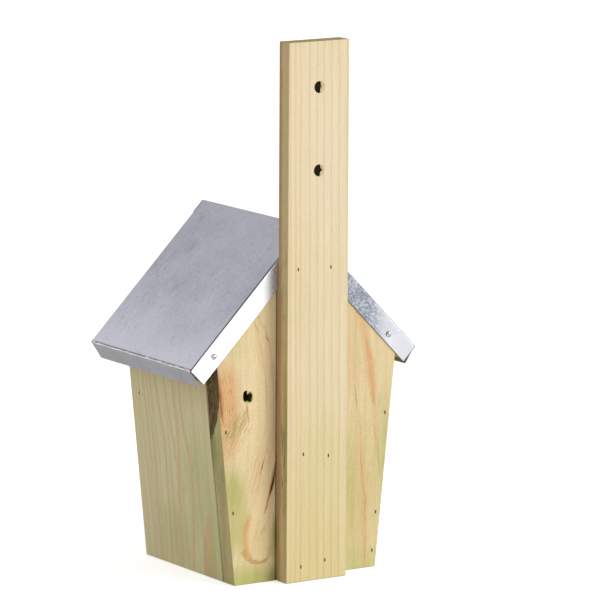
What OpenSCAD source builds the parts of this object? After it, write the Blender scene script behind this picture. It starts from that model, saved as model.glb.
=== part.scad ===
// Nest box with a steep sheet-clad roof, on a tall mounting batten.
// +Z is up, the entrance faces -Y and the batten is on the +Y side. Right and left are as
// seen from the front, so the right side is +X. The origin is on the floor, under the middle
// of the whole object.

/* [Box] */
// Width across the box at its foot
box_w = 118; // [100:1:180]
// Depth of the box, from the front edges of the side panels to the back of the back panel
box_d = 118; // [90:1:180]
// Outward lean of each side panel from upright, in degrees
side_lean = 5.9; // [0:0.1:10]
// Thickness of the side panels
side_t = 16; // [9:0.5:22]
// Thickness of the back panel
back_t = 16; // [9:0.5:22]
// Thickness of the front panel
front_t = 16; // [9:0.5:22]
// How far the front panel stands back from the front edges of the side panels
front_inset = 3; // [0:0.5:12]
// Thickness of the floor panel
floor_t = 14; // [9:0.5:20]
// Height of the underside of the floor panel over the foot of the box
floor_rise = 5; // [0:0.5:15]

/* [Openings] */
// Diameter of the entrance hole
entrance_d = 32; // [26:1:45]
// Height of the middle of the entrance hole
entrance_z = 150; // [110:1:170]
// Diameter of the vent hole in the back panel
vent_d = 8; // [5:0.5:12]
// Distance of the vent hole from the middle of the batten
vent_x = 48.5; // [38:0.5:56]
// Height of the middle of the vent hole
vent_z = 133; // [90:1:150]

/* [Roof] */
// Height of the ridge, over the metal
ridge_h = 251; // [220:1:330]
// How far each eave reaches out past the foot of the box, over the metal
eave_reach = 35; // [29:1:60]
// Height of the ridge over the eaves
roof_rise = 95; // [70:1:120]
// How far the roof boards reach past the front of the box
front_overhang = 15; // [0:1:40]
// Thickness of the roof boards
roof_board_t = 12.5; // [8:0.5:14]
// Thickness of the folded metal sheet
sheet_t = 0.7; // [0.4:0.1:1.5]
// Depth of the folded edges of the sheet, over the metal
flange_h = 14.7; // [13:0.1:25]
// How far the eave folds spring open from square, in degrees
eave_splay = 12; // [0:1:20]
// Width of the lap of one gable fold over the other at the ridge
ridge_lap = 8; // [3:0.5:10]
// Sideways distance of the ridge from the middle of the box
ridge_offset = 2; // [0:0.5:5]

/* [Batten] */
// How far the batten stands up over the ridge
batten_rise = 129; // [100:1:220]
// Width of the batten
batten_w = 50; // [40:1:70]
// Thickness of the batten
batten_t = 12.5; // [9:0.5:22]
// Diameter of the hanging holes
hanging_d = 8; // [5:0.5:12]
// Distance of the upper hanging hole from the top of the batten
hanging_top = 32; // [15:1:50]
// Distance between the middles of the hanging holes
hanging_pitch = 58; // [25:1:80]

/* [Brads and nails] */
// Length of a brad
brad_l = 25; // [18:1:27]
// Width and thickness of a brad's shank
brad_w = 1.2; // [0.8:0.1:2]
// Long side of a brad's head
brad_head_l = 2.4; // [2.1:0.1:4]
// Thickness of a brad's head
brad_head_t = 0.6; // [0.4:0.1:1]
// How deep a brad's head is sunk under the surface of the wood
brad_set = 1; // [0:0.1:2]
// Distance of the back panel's brads from its sloping edges
brad_edge = 4; // [2.5:0.5:6]
// Height of the brads through the side panels into the front panel
front_brad_z = 121; // [60:1:130]
// Length of a roof nail under its head
nail_l = 20; // [12:1:30]
// Diameter of a roof nail's shank
nail_d = 2; // [1.2:0.1:3]
// Diameter of a roof nail's head
nail_head_d = 4.2; // [3.5:0.1:8]
// Height of a roof nail's domed head
nail_head_h = 1.2; // [0.5:0.1:2]

/* [Hidden] */
$fn = 48;

// Sides, as the sign of X
right = 1;
left = -1;

// Brads through the batten, one [side offset, height] each, in the order of the nodes. The
// first two go through the gable folds, so they follow the ridge
batten_brads = [
    [16.5, ridge_h - 29], [-10.5, ridge_h - 29.5], [11.5, 91], [-9.5, 88], [13, 11], [-7, 13.5]
];
// Brads through the back panel into the side panels, one [side, height] each
back_brads = [[right, 110], [right, 52], [left, 110.5], [left, 39.5], [left, 12]];
// Roof nails at the right and the left eave, one [distance up the slope, depth under the
// metal's top] each
roof_nails = [[19.5, 7.7], [24, 9.4]];

// Extra length of a cut past the face that it opens
cut = 1;

batten_h = ridge_h + batten_rise;

// Roof slope, and the height of each roof surface at the ridge
roof_span = box_w + 2 * eave_reach;
pitch = atan2(roof_rise, roof_span / 2);
eave_h = ridge_h - roof_rise;
slope_l = norm([roof_rise, roof_span / 2]);
board_top_z = ridge_h - sheet_t / cos(pitch);
under_z = board_top_z - roof_board_t / cos(pitch);

// The box and the batten stand to the side of the ridge, which is at X = 0
box_x = -ridge_offset;
side_w = side_t / cos(side_lean);

// Y of each upright face, from the back to the front
front_reach = box_d + front_overhang + sheet_t + max(sheet_t, nail_head_h);
back_reach = 2 * sheet_t + batten_t;
back_y = (front_reach - back_reach) / 2;
back_in_y = back_y - back_t;
front_y = back_y - box_d;
panel_front_y = front_y + front_inset;
panel_in_y = panel_front_y + front_t;
eave_front_y = front_y - front_overhang;
batten_y = back_y + 2 * sheet_t;
batten_face_y = batten_y + batten_t;

// X of the box's side face at a height, or of a face that lies inside it
function face_x(side, z, inset = 0) =
    box_x + side * (box_w / 2 + z * tan(side_lean) - inset);

// Height at which that face meets the underside of the roof boards
function eave_z(side, inset = 0) =
    (under_z - tan(pitch) * (side * box_x + box_w / 2 - inset))
    / (1 + tan(pitch) * tan(side_lean));

function foot(side, inset = 0) = [face_x(side, 0, inset), 0];
function shoulder(side, inset = 0) =
    [face_x(side, eave_z(side, inset), inset), eave_z(side, inset)];

// Point on the roof's section: up the slope from the eave corner, and under the metal's top
function roof_point(side, up, under) = [
    side * (roof_span / 2 - up * cos(pitch) - under * sin(pitch)),
    eave_h + up * sin(pitch) - under * cos(pitch)
];

// An outline drawn in X and Z, as a slab between two values of Y
module slab(y0, y1) {
    translate([0, y1, 0]) rotate([90, 0, 0]) linear_extrude(y1 - y0) children();
}

// Five-sided outline of an end panel, inset from the box's side faces
module gable_outline(inset = 0) {
    polygon([
        foot(right, inset), shoulder(right, inset), [0, under_z],
        shoulder(left, inset), foot(left, inset)
    ]);
}

// Brad that points down -Z, with its head's top at Z = 0
module brad() {
    translate([0, 0, -brad_head_t / 2])
        cube([brad_w, brad_head_l, brad_head_t], center = true);
    translate([0, 0, -brad_l / 2]) cube([brad_w, brad_w, brad_l], center = true);
}

// The brad and the slot that its head leaves over it in the wood
module brad_cut() {
    brad();
    translate([0, 0, (brad_set + cut) / 2 - brad_head_t])
        cube([brad_w, brad_head_l, brad_set + cut], center = true);
}

// Puts a brad that points down at a point of an upright face that looks to +Y
module on_back(x, y, z) {
    translate([x, y - brad_set, z]) rotate([-90, 0, 0]) children();
}

// Puts a brad that points down on the leaning outer face of a side panel
module on_side(side) {
    translate([face_x(side, front_brad_z), panel_front_y + front_t / 2, front_brad_z])
        rotate([0, side * (90 + side_lean), 0]) rotate([0, 0, 90])
            translate([0, 0, -brad_set]) children();
}

module place_batten_brad(i) {
    on_back(box_x + batten_brads[i][0], batten_face_y, batten_brads[i][1]) children();
}

module place_back_brad(i) {
    z = back_brads[i][1];
    on_back(face_x(back_brads[i][0], z, brad_edge), back_y, z) children();
}

// Puts a nail that points down on a gable fold: end is 1 at the back, -1 at the front
module place_roof_nail(side, end) {
    at = roof_nails[side == right ? 0 : 1];
    p = roof_point(side, at[0], at[1]);
    y = end > 0 ? back_y + sheet_t : eave_front_y - sheet_t;
    translate([p[0], y, p[1]]) rotate([-90 * end, 0, 0]) children();
}

module nail_shank() {
    translate([0, 0, -nail_l]) cylinder(h = nail_l, d = nail_d);
}

// Nail with a domed head that stands on Z = 0
module nail() {
    dome_r = (pow(nail_head_d / 2, 2) + pow(nail_head_h, 2)) / (2 * nail_head_h);
    nail_shank();
    intersection() {
        translate([0, 0, nail_head_h - dome_r]) sphere(r = dome_r);
        cylinder(h = nail_head_h, d = nail_head_d);
    }
}

module batten_brad(i) { color("dimgray") place_batten_brad(i) brad(); }

module back_brad(i) { color("dimgray") place_back_brad(i) brad(); }

module front_brad(side) { color("dimgray") on_side(side) brad(); }

module roof_nail(side, end) { color("gainsboro") place_roof_nail(side, end) nail(); }

module mounting_batten() {
    color("wheat") difference() {
        translate([box_x - batten_w / 2, batten_y, 0]) cube([batten_w, batten_t, batten_h]);
        for (i = [0, 1])
            translate([box_x, batten_face_y + cut, batten_h - hanging_top - i * hanging_pitch])
                rotate([90, 0, 0]) cylinder(h = batten_t + 2 * cut, d = hanging_d);
        for (i = [0 : len(batten_brads) - 1]) place_batten_brad(i) brad_cut();
    }
}

module back_panel() {
    color("burlywood") difference() {
        slab(back_in_y, back_y) gable_outline();
        translate([box_x + vent_x, back_y + cut, vent_z])
            rotate([90, 0, 0]) cylinder(h = back_t + 2 * cut, d = vent_d);
        for (i = [0 : len(batten_brads) - 1]) place_batten_brad(i) brad_cut();
        for (i = [0 : len(back_brads) - 1]) place_back_brad(i) brad_cut();
    }
}

module front_panel() {
    color("burlywood") difference() {
        slab(panel_front_y, panel_in_y) gable_outline(side_w);
        translate([box_x, panel_in_y + cut, entrance_z])
            rotate([90, 0, 0]) cylinder(h = front_t + 2 * cut, d = entrance_d);
        for (side = [right, left]) on_side(side) brad_cut();
    }
}

module side_panel(side) {
    color("darkkhaki") difference() {
        slab(front_y, back_in_y) polygon([
            foot(side), shoulder(side), shoulder(side, side_w), foot(side, side_w)
        ]);
        for (i = [0 : len(back_brads) - 1]) place_back_brad(i) brad_cut();
        on_side(side) brad_cut();
    }
}

module floor_panel() {
    floor_top = floor_rise + floor_t;
    color("burlywood") slab(panel_in_y, back_in_y) polygon([
        [face_x(right, floor_rise, side_w), floor_rise],
        [face_x(right, floor_top, side_w), floor_top],
        [face_x(left, floor_top, side_w), floor_top],
        [face_x(left, floor_rise, side_w), floor_rise]
    ]);
}

module roof_board(side) {
    color("tan") difference() {
        slab(eave_front_y, back_y) polygon([
            [0, board_top_z],
            roof_point(side, sheet_t, sheet_t),
            roof_point(side, sheet_t, sheet_t + roof_board_t),
            [0, under_z]
        ]);
        for (i = [0 : len(batten_brads) - 1]) place_batten_brad(i) brad_cut();
        for (end = [1, -1]) place_roof_nail(side, end) nail_shank();
    }
}

// Gable fold over the ends of one roof board, as an outline
module gable_fold(side) {
    polygon([
        [0, ridge_h], roof_point(side, 0, 0), roof_point(side, 0, flange_h),
        [0, ridge_h - flange_h / cos(pitch)]
    ]);
}

// Lap of the left gable fold over the right one, as an outline
module lap_outline() {
    intersection() {
        gable_fold(right);
        translate([0, eave_h]) square([ridge_lap, roof_rise]);
    }
}

// Section of one slope of the sheet with its splayed eave fold
module sheet_section(side) {
    polygon([
        [0, ridge_h], roof_point(side, 0, 0), roof_point(side, 0, sheet_t), [0, board_top_z]
    ]);
    translate(roof_point(side, 0, 0)) mirror([side == right ? 0 : 1, 0])
        rotate(eave_splay - pitch) translate([-sheet_t, -flange_h])
            square([sheet_t, flange_h]);
}

module roof_sheet() {
    color("silver") difference() {
        union() {
            for (side = [right, left]) {
                slab(eave_front_y - sheet_t, back_y + sheet_t) sheet_section(side);
                slab(back_y, back_y + sheet_t) gable_fold(side);
                slab(eave_front_y - sheet_t, eave_front_y) gable_fold(side);
            }
            slab(back_y + sheet_t, back_y + 2 * sheet_t) lap_outline();
            slab(eave_front_y - 2 * sheet_t, eave_front_y - sheet_t) lap_outline();
        }
        for (i = [0 : len(batten_brads) - 1]) place_batten_brad(i) brad_cut();
        for (side = [right, left], end = [1, -1]) place_roof_nail(side, end) nail_shank();
    }
}

mounting_batten();
back_panel();
front_panel();
side_panel(right);  // right_side_panel
side_panel(left);  // left_side_panel
floor_panel();
roof_board(right);  // right_roof_board
roof_board(left);  // left_roof_board
roof_sheet();
batten_brad(0);  // batten_brad_top_right
batten_brad(1);  // batten_brad_top_left
batten_brad(2);  // batten_brad_middle_right
batten_brad(3);  // batten_brad_middle_left
batten_brad(4);  // batten_brad_bottom_right
batten_brad(5);  // batten_brad_bottom_left
back_brad(0);  // back_brad_right_upper
back_brad(1);  // back_brad_right_lower
back_brad(2);  // back_brad_left_upper
back_brad(3);  // back_brad_left_middle
back_brad(4);  // back_brad_left_lower
front_brad(right);  // front_brad_right
front_brad(left);  // front_brad_left
roof_nail(right, 1);  // roof_nail_back_right
roof_nail(left, 1);  // roof_nail_back_left
roof_nail(right, -1);  // roof_nail_front_right
roof_nail(left, -1);  // roof_nail_front_left
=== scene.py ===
"""Looks of a nest box: treated pine boards, a folded galvanised roof and a tall batten.

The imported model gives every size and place. Each board, sheet, nail and brad is a more
finished piece that stands for its CAD node. Lengths with the ending _mm, and every point
of a finish, are in millimetres; meshes are in metres, as the frame is.
"""

import copy
import logging
import math
from collections.abc import Callable, Iterable
from dataclasses import dataclass, field
from enum import Enum
from typing import Any, ClassVar

import bmesh
import bpy
from mathutils import Matrix, Vector, noise


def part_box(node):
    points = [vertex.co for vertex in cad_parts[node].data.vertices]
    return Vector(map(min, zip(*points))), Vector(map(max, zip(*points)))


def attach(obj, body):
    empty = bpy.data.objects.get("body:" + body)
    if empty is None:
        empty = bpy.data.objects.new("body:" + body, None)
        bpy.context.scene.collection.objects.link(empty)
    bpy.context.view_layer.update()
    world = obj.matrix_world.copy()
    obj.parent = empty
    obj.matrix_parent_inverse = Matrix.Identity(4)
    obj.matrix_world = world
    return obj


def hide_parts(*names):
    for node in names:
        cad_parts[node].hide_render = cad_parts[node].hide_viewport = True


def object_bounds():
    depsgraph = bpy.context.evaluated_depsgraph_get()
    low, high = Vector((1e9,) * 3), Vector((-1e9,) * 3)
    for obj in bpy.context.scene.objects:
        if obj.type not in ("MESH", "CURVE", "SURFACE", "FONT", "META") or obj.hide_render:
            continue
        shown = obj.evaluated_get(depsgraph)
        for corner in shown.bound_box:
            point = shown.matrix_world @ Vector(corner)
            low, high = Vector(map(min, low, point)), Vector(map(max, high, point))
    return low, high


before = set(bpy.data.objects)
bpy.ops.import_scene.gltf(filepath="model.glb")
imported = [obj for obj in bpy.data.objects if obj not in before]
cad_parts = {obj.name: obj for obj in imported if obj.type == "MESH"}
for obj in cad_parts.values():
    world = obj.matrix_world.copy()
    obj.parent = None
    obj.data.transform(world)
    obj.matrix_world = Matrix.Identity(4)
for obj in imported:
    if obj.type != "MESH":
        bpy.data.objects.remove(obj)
cad_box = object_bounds()

log = logging.getLogger("nest_box")

MM = 0.001
ROOT = "root"
Pair = tuple[float, float]
Triple = tuple[float, float, float]
Colour = tuple[float, float, float, float]
Course = tuple[Triple, ...]
Shape = bmesh.types.BMesh
Piece = bpy.types.Object


def paint(code: str) -> Colour:
    """Turns a six-digit colour code into linear light.

    Args:
        code: red, green and blue as two hexadecimal digits each.

    Returns:
        The colour as linear red, green, blue and a full alpha.
    """
    toe_end, toe_slope, lift, gamma = 0.04045, 12.92, 0.055, 2.4
    shares = [int(code[i : i + 2], 16) / 255 for i in (0, 2, 4)]
    red, green, blue = (
        share / toe_slope if share <= toe_end else ((share + lift) / (1 + lift)) ** gamma
        for share in shares
    )
    return (red, green, blue, 1.0)


# ---------------------------------------------------------------- shader maths


class Wire:
    """A value on its way through a shader, which Python's operators extend with nodes."""

    def __init__(self, bench: "Bench", socket: bpy.types.NodeSocket) -> None:
        """Wraps one output socket.

        Args:
            bench: the bench whose tree holds the socket.
            socket: the output that carries the value.
        """
        self.bench = bench
        self.socket = socket

    def maths(self, operation: str, *values: "Wire | float") -> "Wire":
        """Adds one Math node.

        Args:
            operation: the node's operation.
            values: its inputs in order.

        Returns:
            The node's result.
        """
        return self.bench.node("Math", {"operation": operation}, dict(enumerate(values)))

    def __add__(self, other: "Wire | float") -> "Wire":
        """Sum."""
        return self.maths("ADD", self, other)

    __radd__ = __add__

    def __sub__(self, other: "Wire | float") -> "Wire":
        """Difference."""
        return self.maths("SUBTRACT", self, other)

    def __rsub__(self, other: float) -> "Wire":
        """Difference from a number."""
        return self.maths("SUBTRACT", other, self)

    def __mul__(self, other: "Wire | float") -> "Wire":
        """Product."""
        return self.maths("MULTIPLY", self, other)

    __rmul__ = __mul__

    def __truediv__(self, other: "Wire | float") -> "Wire":
        """Quotient."""
        return self.maths("DIVIDE", self, other)

    def __pow__(self, power: float) -> "Wire":
        """Power."""
        return self.maths("POWER", self, power)

    def __abs__(self) -> "Wire":
        """Distance from zero."""
        return self.maths("ABSOLUTE", self)

    def most(self, other: "Wire | float") -> "Wire":
        """The larger of two values."""
        return self.maths("MAXIMUM", self, other)

    def part(self) -> "Wire":
        """What is left over the whole number below."""
        return self.maths("FRACT", self)

    def rise(self, low: float, high: float) -> "Wire":
        """Goes softly from 0 to 1 between two values.

        Args:
            low: where it is still 0.
            high: where it is already 1. It may be under low, for a fall.

        Returns:
            The share from 0 to 1.
        """
        return self.bench.node(
            "MapRange",
            {"interpolation_type": "SMOOTHSTEP"},
            {"Value": self, "From Min": low, "From Max": high},
        )


class Bench:
    """Where one material's nodes are put together."""

    def __init__(self, tree: bpy.types.NodeTree) -> None:
        """Takes an empty node tree.

        Args:
            tree: the tree to fill.
        """
        self.tree = tree
        tree.nodes.clear()

    def node(
        self,
        kind: str,
        settings: dict[str, Any] | None = None,
        inputs: dict[str | int, Any] | None = None,
        output: str | int = 0,
    ) -> Wire:
        """Adds one node, sets it and feeds it.

        Args:
            kind: the node's type, without its ShaderNode prefix.
            settings: its properties, set first; stops are a ramp's (place, colour) pairs.
            inputs: a number, colour, vector or wire for each socket.
            output: the socket that is handed back.

        Returns:
            The chosen output.
        """
        made = self.tree.nodes.new("ShaderNode" + kind)
        for name, value in (settings or {}).items():
            if name == "stops":
                self.set_stops(made.color_ramp, value)
            else:
                setattr(made, name, value)
        for name, value in (inputs or {}).items():
            if isinstance(value, Wire):
                self.tree.links.new(value.socket, made.inputs[name])
            else:
                made.inputs[name].default_value = value
        return Wire(self, made.outputs[output])

    @staticmethod
    def set_stops(ramp: bpy.types.ColorRamp, stops: Iterable[tuple[float, Colour]]) -> None:
        """Gives a ramp its stops.

        Args:
            ramp: the ramp to fill.
            stops: place and colour of each stop, in rising order.
        """
        for i, (place, colour) in enumerate(stops):
            stop = ramp.elements[i] if i < 2 else ramp.elements.new(place)
            stop.position = place
            stop.color = colour

    def blend(self, share: Wire | float, a: Any, b: Any, how: str = "MIX") -> Wire:
        """Mixes two colours.

        Args:
            share: how much of b.
            a: the colour or wire below.
            b: the colour or wire on top.
            how: the Mix node's way of mixing.

        Returns:
            The mixed colour.
        """
        settings = {"data_type": "RGBA", "blend_type": how}
        return self.node("Mix", settings, {0: share, 6: a, 7: b}, 2)

    def shade(self, colour: Any, amount: Wire) -> Wire:
        """Multiplies a colour by a grey amount.

        Args:
            colour: the colour or wire.
            amount: 1 leaves it as it is.

        Returns:
            The shaded colour.
        """
        return self.node("VectorMath", {"operation": "SCALE"}, {0: colour, "Scale": amount})

    def dot(self, vector: Wire, direction: Vector) -> Wire:
        """Measures a vector along a direction.

        Args:
            vector: the vector.
            direction: the direction, of length 1.

        Returns:
            The length along it.
        """
        return self.node(
            "VectorMath", {"operation": "DOT_PRODUCT"}, {0: vector, 1: direction}, "Value"
        )

    def place_mm(self) -> Wire:
        """The point on the piece, in millimetres in the frame."""
        here = self.node("TexCoord", output="Object")
        return self.node("VectorMath", {"operation": "SCALE"}, {0: here, "Scale": 1 / MM})

    def facing(self) -> Wire:
        """The direction that the surface faces."""
        return self.node("NewGeometry", output="Normal")

    def turned_to(self, x: float, y: float, z: float) -> Wire:
        """How squarely the surface faces a direction or its opposite, from 0 to 1."""
        return abs(self.dot(self.facing(), Vector((x, y, z))))

    def seen(self) -> Wire:
        """Tells rays that look at a surface from rays that light it.

        Returns:
            1 for a ray that looks straight, in a mirror or through glass, or else 0.
        """
        rays = ("Is Camera Ray", "Is Glossy Ray", "Is Transmission Ray")
        straight, mirrored, through = (self.node("LightPath", output=ray) for ray in rays)
        return straight.most(mirrored).most(through)

    def vector(self, x: Wire | float, y: Wire | float, z: Wire | float) -> Wire:
        """Puts three values together."""
        return self.node("CombineXYZ", None, {0: x, 1: y, 2: z})

    def noise(
        self, at: Wire, scale: float = 1.0, detail: float = 3.0, rough: float = 0.55
    ) -> Wire:
        """Soft random value from 0 to 1.

        Args:
            at: where it is read.
            scale: how fast it changes.
            detail: how many finer layers lie on it.
            rough: how strong the finer layers are.

        Returns:
            The value.
        """
        return self.node(
            "TexNoise", None, {"Vector": at, "Scale": scale, "Detail": detail, "Roughness": rough}
        )

    def ramp(
        self, value: Wire, stops: Iterable[tuple[float, Colour]], smooth: str = "LINEAR"
    ) -> Wire:
        """Looks a value up on a colour ramp.

        Args:
            value: where on the ramp, from 0 to 1.
            stops: place and colour of each stop.
            smooth: how the ramp runs between stops.

        Returns:
            The colour there.
        """
        made = self.node("ValToRGB", {"stops": stops}, {0: value})
        made.socket.node.color_ramp.interpolation = smooth
        return made

    def surface(self, **sockets: Any) -> None:
        """Adds the Principled shader and the output.

        Args:
            sockets: a value or wire for each socket, with _ for a space in its name.
        """
        named = {name.replace("_", " "): value for name, value in sockets.items()}
        self.end(self.node("BsdfPrincipled", None, named))

    def end(self, shader: Wire) -> None:
        """Joins the last shader to the material's output."""
        end = self.tree.nodes.new("ShaderNodeOutputMaterial")
        self.tree.links.new(shader.socket, end.inputs["Surface"])

    def relief(self, height: Wire, depth_mm: float) -> Wire:
        """Turns a height into a normal.

        Args:
            height: the height from 0 to 1.
            depth_mm: what a height of 1 stands for.

        Returns:
            The bumped normal.
        """
        return self.node(
            "Bump", None, {"Height": height, "Distance": depth_mm * MM, "Strength": 1.0}
        )


def grey(value: float) -> Colour:
    """A grey of one strength."""
    return (value, value, value, 1.0)


# ---------------------------------------------------------------- finishes


class Finish:
    """A look that fills a material's nodes."""

    def fill(self, bench: Bench) -> None:
        """Puts the look's nodes on a bench. Each finish has its own.

        Args:
            bench: the empty bench.
        """
        raise NotImplementedError

    def material(self, name: str) -> bpy.types.Material:
        """Makes a material of this look.

        Args:
            name: the material's name.

        Returns:
            The material.
        """
        made = bpy.data.materials.new(name)
        made.use_nodes = True
        self.fill(Bench(made.node_tree))
        return made


@dataclass(frozen=True)
class Grain:
    """Which way a board's fibres run, and where its own measures start."""

    along: Triple
    across: Triple
    start_mm: Triple = (0.0, 0.0, 0.0)

    def through(self) -> Vector:
        """The direction through the board."""
        return Vector(self.across).cross(Vector(self.along))


class Timber:
    """A board's own measures on a bench, and the textures that all its marks share."""

    CLOUD_PER_MM = 0.022
    BEND_PER_MM = 0.07
    SOFT_DETAIL = 2.0
    END_GRAIN = (0.6, 0.85)
    SIDE_REACH_MM = 100.0
    WIDEST_MM = 40.0

    def __init__(self, bench: Bench, grain: Grain) -> None:
        """Lays the measures out.

        Args:
            bench: the bench to work on.
            grain: the board's directions.
        """
        self.bench = bench
        at = bench.place_mm()
        start = Vector(grain.start_mm)
        along, across, through = Vector(grain.along), Vector(grain.across), grain.through()
        self.side = bench.dot(at, across) - start.dot(across)
        self.depth = bench.dot(at, through) - start.dot(through)
        self.height = bench.dot(at, along) - start.dot(along)
        self.cloud = bench.noise(at, self.CLOUD_PER_MM, self.SOFT_DETAIL)
        self.bend = bench.noise(at, self.BEND_PER_MM, self.SOFT_DETAIL) - 0.5
        self.faces_out = bench.dot(bench.facing(), through)
        self.end_cut = bench.turned_to(*along).rise(*self.END_GRAIN)
        self.flow = self.side

    def edgewise(self) -> "Timber":
        """Turns the measures for marks on the board's edges.

        Returns:
            The same board, with side measured through it.
        """
        turned = copy.copy(self)
        turned.side, turned.depth = self.depth, self.side
        turned.flow = self.depth
        return turned

    def fibres(self, pitch_mm: float, length_mm: float, detail: float = 4.0) -> Wire:
        """Random streaks that run with the grain.

        Args:
            pitch_mm: width of a streak.
            length_mm: length of a streak.
            detail: how many finer layers lie on it.

        Returns:
            A value from 0 to 1.
        """
        at = self.bench.vector(
            self.flow * (1 / pitch_mm), self.depth * (1 / pitch_mm), self.height * (1 / length_mm)
        )
        return self.bench.noise(at, 1.0, detail, 0.6)

    def course(self, points: Course) -> tuple[Wire, Wire]:
        """Side place and half width that change along the board.

        Args:
            points: height, side place and half width of each point, from the foot up.

        Returns:
            The side place and the half width at each height.
        """
        low, high = points[0][0], points[-1][0]
        reach, widest = self.SIDE_REACH_MM, self.WIDEST_MM
        stops = [
            ((z - low) / (high - low), (0.5 + x / (2 * reach), half / widest, 0.0, 1.0))
            for z, x, half in points
        ]
        share = (self.height - low) / (high - low)
        looked_up = self.bench.ramp(share, stops, "CARDINAL")
        red = self.bench.node("SeparateColor", None, {0: looked_up}, "Red")
        green = self.bench.node("SeparateColor", None, {0: looked_up}, "Green")
        return (red - 0.5) * (2 * reach), green * widest


HAIR_MM = 0.02


@dataclass(frozen=True)
class Streak:
    """A coloured mark that runs along the grain.

    Its course gives height, side place and half width, from the foot up, and it keeps the
    last of them beyond its ends. Fibres are given as pitch, length and detail.
    """

    RAG_FIBRES: ClassVar[Triple] = (1.6, 16.0, 3.0)
    GAP_FIBRES: ClassVar[Triple] = (1.1, 9.0, 3.0)
    GAP_END: ClassVar[float] = 0.62

    tint: str
    course: Course
    strength: float = 1.0
    feather: float = 0.8
    ragged_mm: float = 1.0
    broken: float = 0.0
    bent_mm: float = 3.0

    def lay(self, timber: Timber, below: Wire) -> Wire:
        """Puts the mark on a board.

        Args:
            timber: the board's measures.
            below: the colour under the mark.

        Returns:
            The colour with the mark.
        """
        middle, half = timber.course(self.course)
        wander = (timber.fibres(*self.RAG_FIBRES) - 0.5) * (2 * self.ragged_mm)
        off = abs(timber.side + wander + timber.bend * self.bent_mm - middle) / half.most(HAIR_MM)
        cover = off.rise(1.0, 1.0 - self.feather) * self.strength
        if self.broken:
            gap_start = 0.5 - 0.25 / self.broken
            cover = cover * timber.fibres(*self.GAP_FIBRES).rise(gap_start, self.GAP_END)
        return timber.bench.blend(cover, below, paint(self.tint))


@dataclass(frozen=True)
class Wash:
    """A soft patch of colour: its middle and reach are side and height."""

    UNEVEN: ClassVar[float] = 0.5
    CORE: ClassVar[float] = 0.15

    tint: str
    middle: Pair
    reach: Pair
    strength: float = 1.0
    lean: float = 0.0

    def lay(self, timber: Timber, below: Wire) -> Wire:
        """Puts the patch on a board.

        Args:
            timber: the board's measures.
            below: the colour under the patch.

        Returns:
            The colour with the patch.
        """
        up = timber.height - self.middle[1]
        x = (timber.side - self.middle[0] + up * self.lean) / self.reach[0]
        z = up / self.reach[1]
        far = (x * x + z * z) ** 0.5 + (timber.cloud - 0.5) * self.UNEVEN
        cover = far.rise(1.0, self.CORE) * self.strength
        return timber.bench.blend(cover, below, paint(self.tint))


@dataclass(frozen=True)
class Flecks:
    """A soft patch in which short fibres of another colour show.

    Its size is the pitch and the length of a fibre, and its share is how many show.
    """

    UNEVEN: ClassVar[float] = 0.6
    CORE: ClassVar[float] = 0.3
    NONE_SHOW: ClassVar[Pair] = (0.68, 0.8)
    PER_SHARE: ClassVar[float] = 0.4

    tint: str
    middle: Pair
    reach: Pair
    strength: float = 0.8
    size: Pair = (0.7, 5.0)
    share: float = 0.3
    lean: float = 0.0

    def lay(self, timber: Timber, below: Wire) -> Wire:
        """Puts the flecks on a board.

        Args:
            timber: the board's measures.
            below: the colour under the flecks.

        Returns:
            The colour with the flecks.
        """
        up = timber.height - self.middle[1]
        slid = timber.side - self.middle[0] + up * self.lean
        x, z = slid / self.reach[0], up / self.reach[1]
        far = (x * x + z * z) ** 0.5 + (timber.cloud - 0.5) * self.UNEVEN
        bench = timber.bench
        at = bench.vector(slid * (1 / self.size[0]), timber.depth, timber.height / self.size[1])
        low, high = (limit - self.PER_SHARE * self.share for limit in self.NONE_SHOW)
        fibre = bench.noise(at, 1.0, 3.0, 0.6).rise(low, high)
        cover = far.rise(1.0, self.CORE) * fibre * self.strength
        return bench.blend(cover, below, paint(self.tint))


@dataclass(frozen=True)
class Knot:
    """A knot: its middle is side and height, and it is drawn out along the grain."""

    UNEVEN: ClassVar[float] = 0.4
    DRAWN_OUT: ClassVar[float] = 0.8
    RINGS: ClassVar[float] = 3.2
    RING_SHARE: ClassVar[float] = 0.6
    HALO_SHARE: ClassVar[float] = 0.55

    middle: Pair
    radius: float
    heart: str = "8A5834"
    ring: str = "B88048"

    def far(self, timber: Timber) -> Wire:
        """Measures the distance from the knot's middle.

        Args:
            timber: the board's measures.

        Returns:
            The distance in radii, a little uneven.
        """
        x = (timber.side - self.middle[0]) * (1 / self.radius)
        z = (timber.height - self.middle[1]) * (self.DRAWN_OUT / self.radius)
        return (x * x + z * z) ** 0.5 + (timber.cloud - 0.5) * self.UNEVEN

    def lay(self, timber: Timber, below: Wire) -> Wire:
        """Puts the knot on a board.

        Args:
            timber: the board's measures.
            below: the colour under the knot.

        Returns:
            The colour with the knot.
        """
        far = self.far(timber)
        rings = (far * self.RINGS).part().rise(0.2, 0.8)
        heart = timber.bench.blend(rings * self.RING_SHARE, paint(self.heart), paint(self.ring))
        near = far.rise(2.2, 0.9) * self.HALO_SHARE
        halo = timber.bench.blend(near, below, paint(self.ring))
        return timber.bench.blend(far.rise(1.08, 0.92), halo, heart)


class Growth:
    """How a board's growth rings cross its face."""

    def late(self, timber: Timber, knots: tuple[Knot, ...]) -> Wire:
        """Share of dark late wood.

        Args:
            timber: the board's measures.
            knots: knots that the rings bend round.

        Returns:
            A value from 0 to 1.
        """
        raise NotImplementedError


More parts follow.
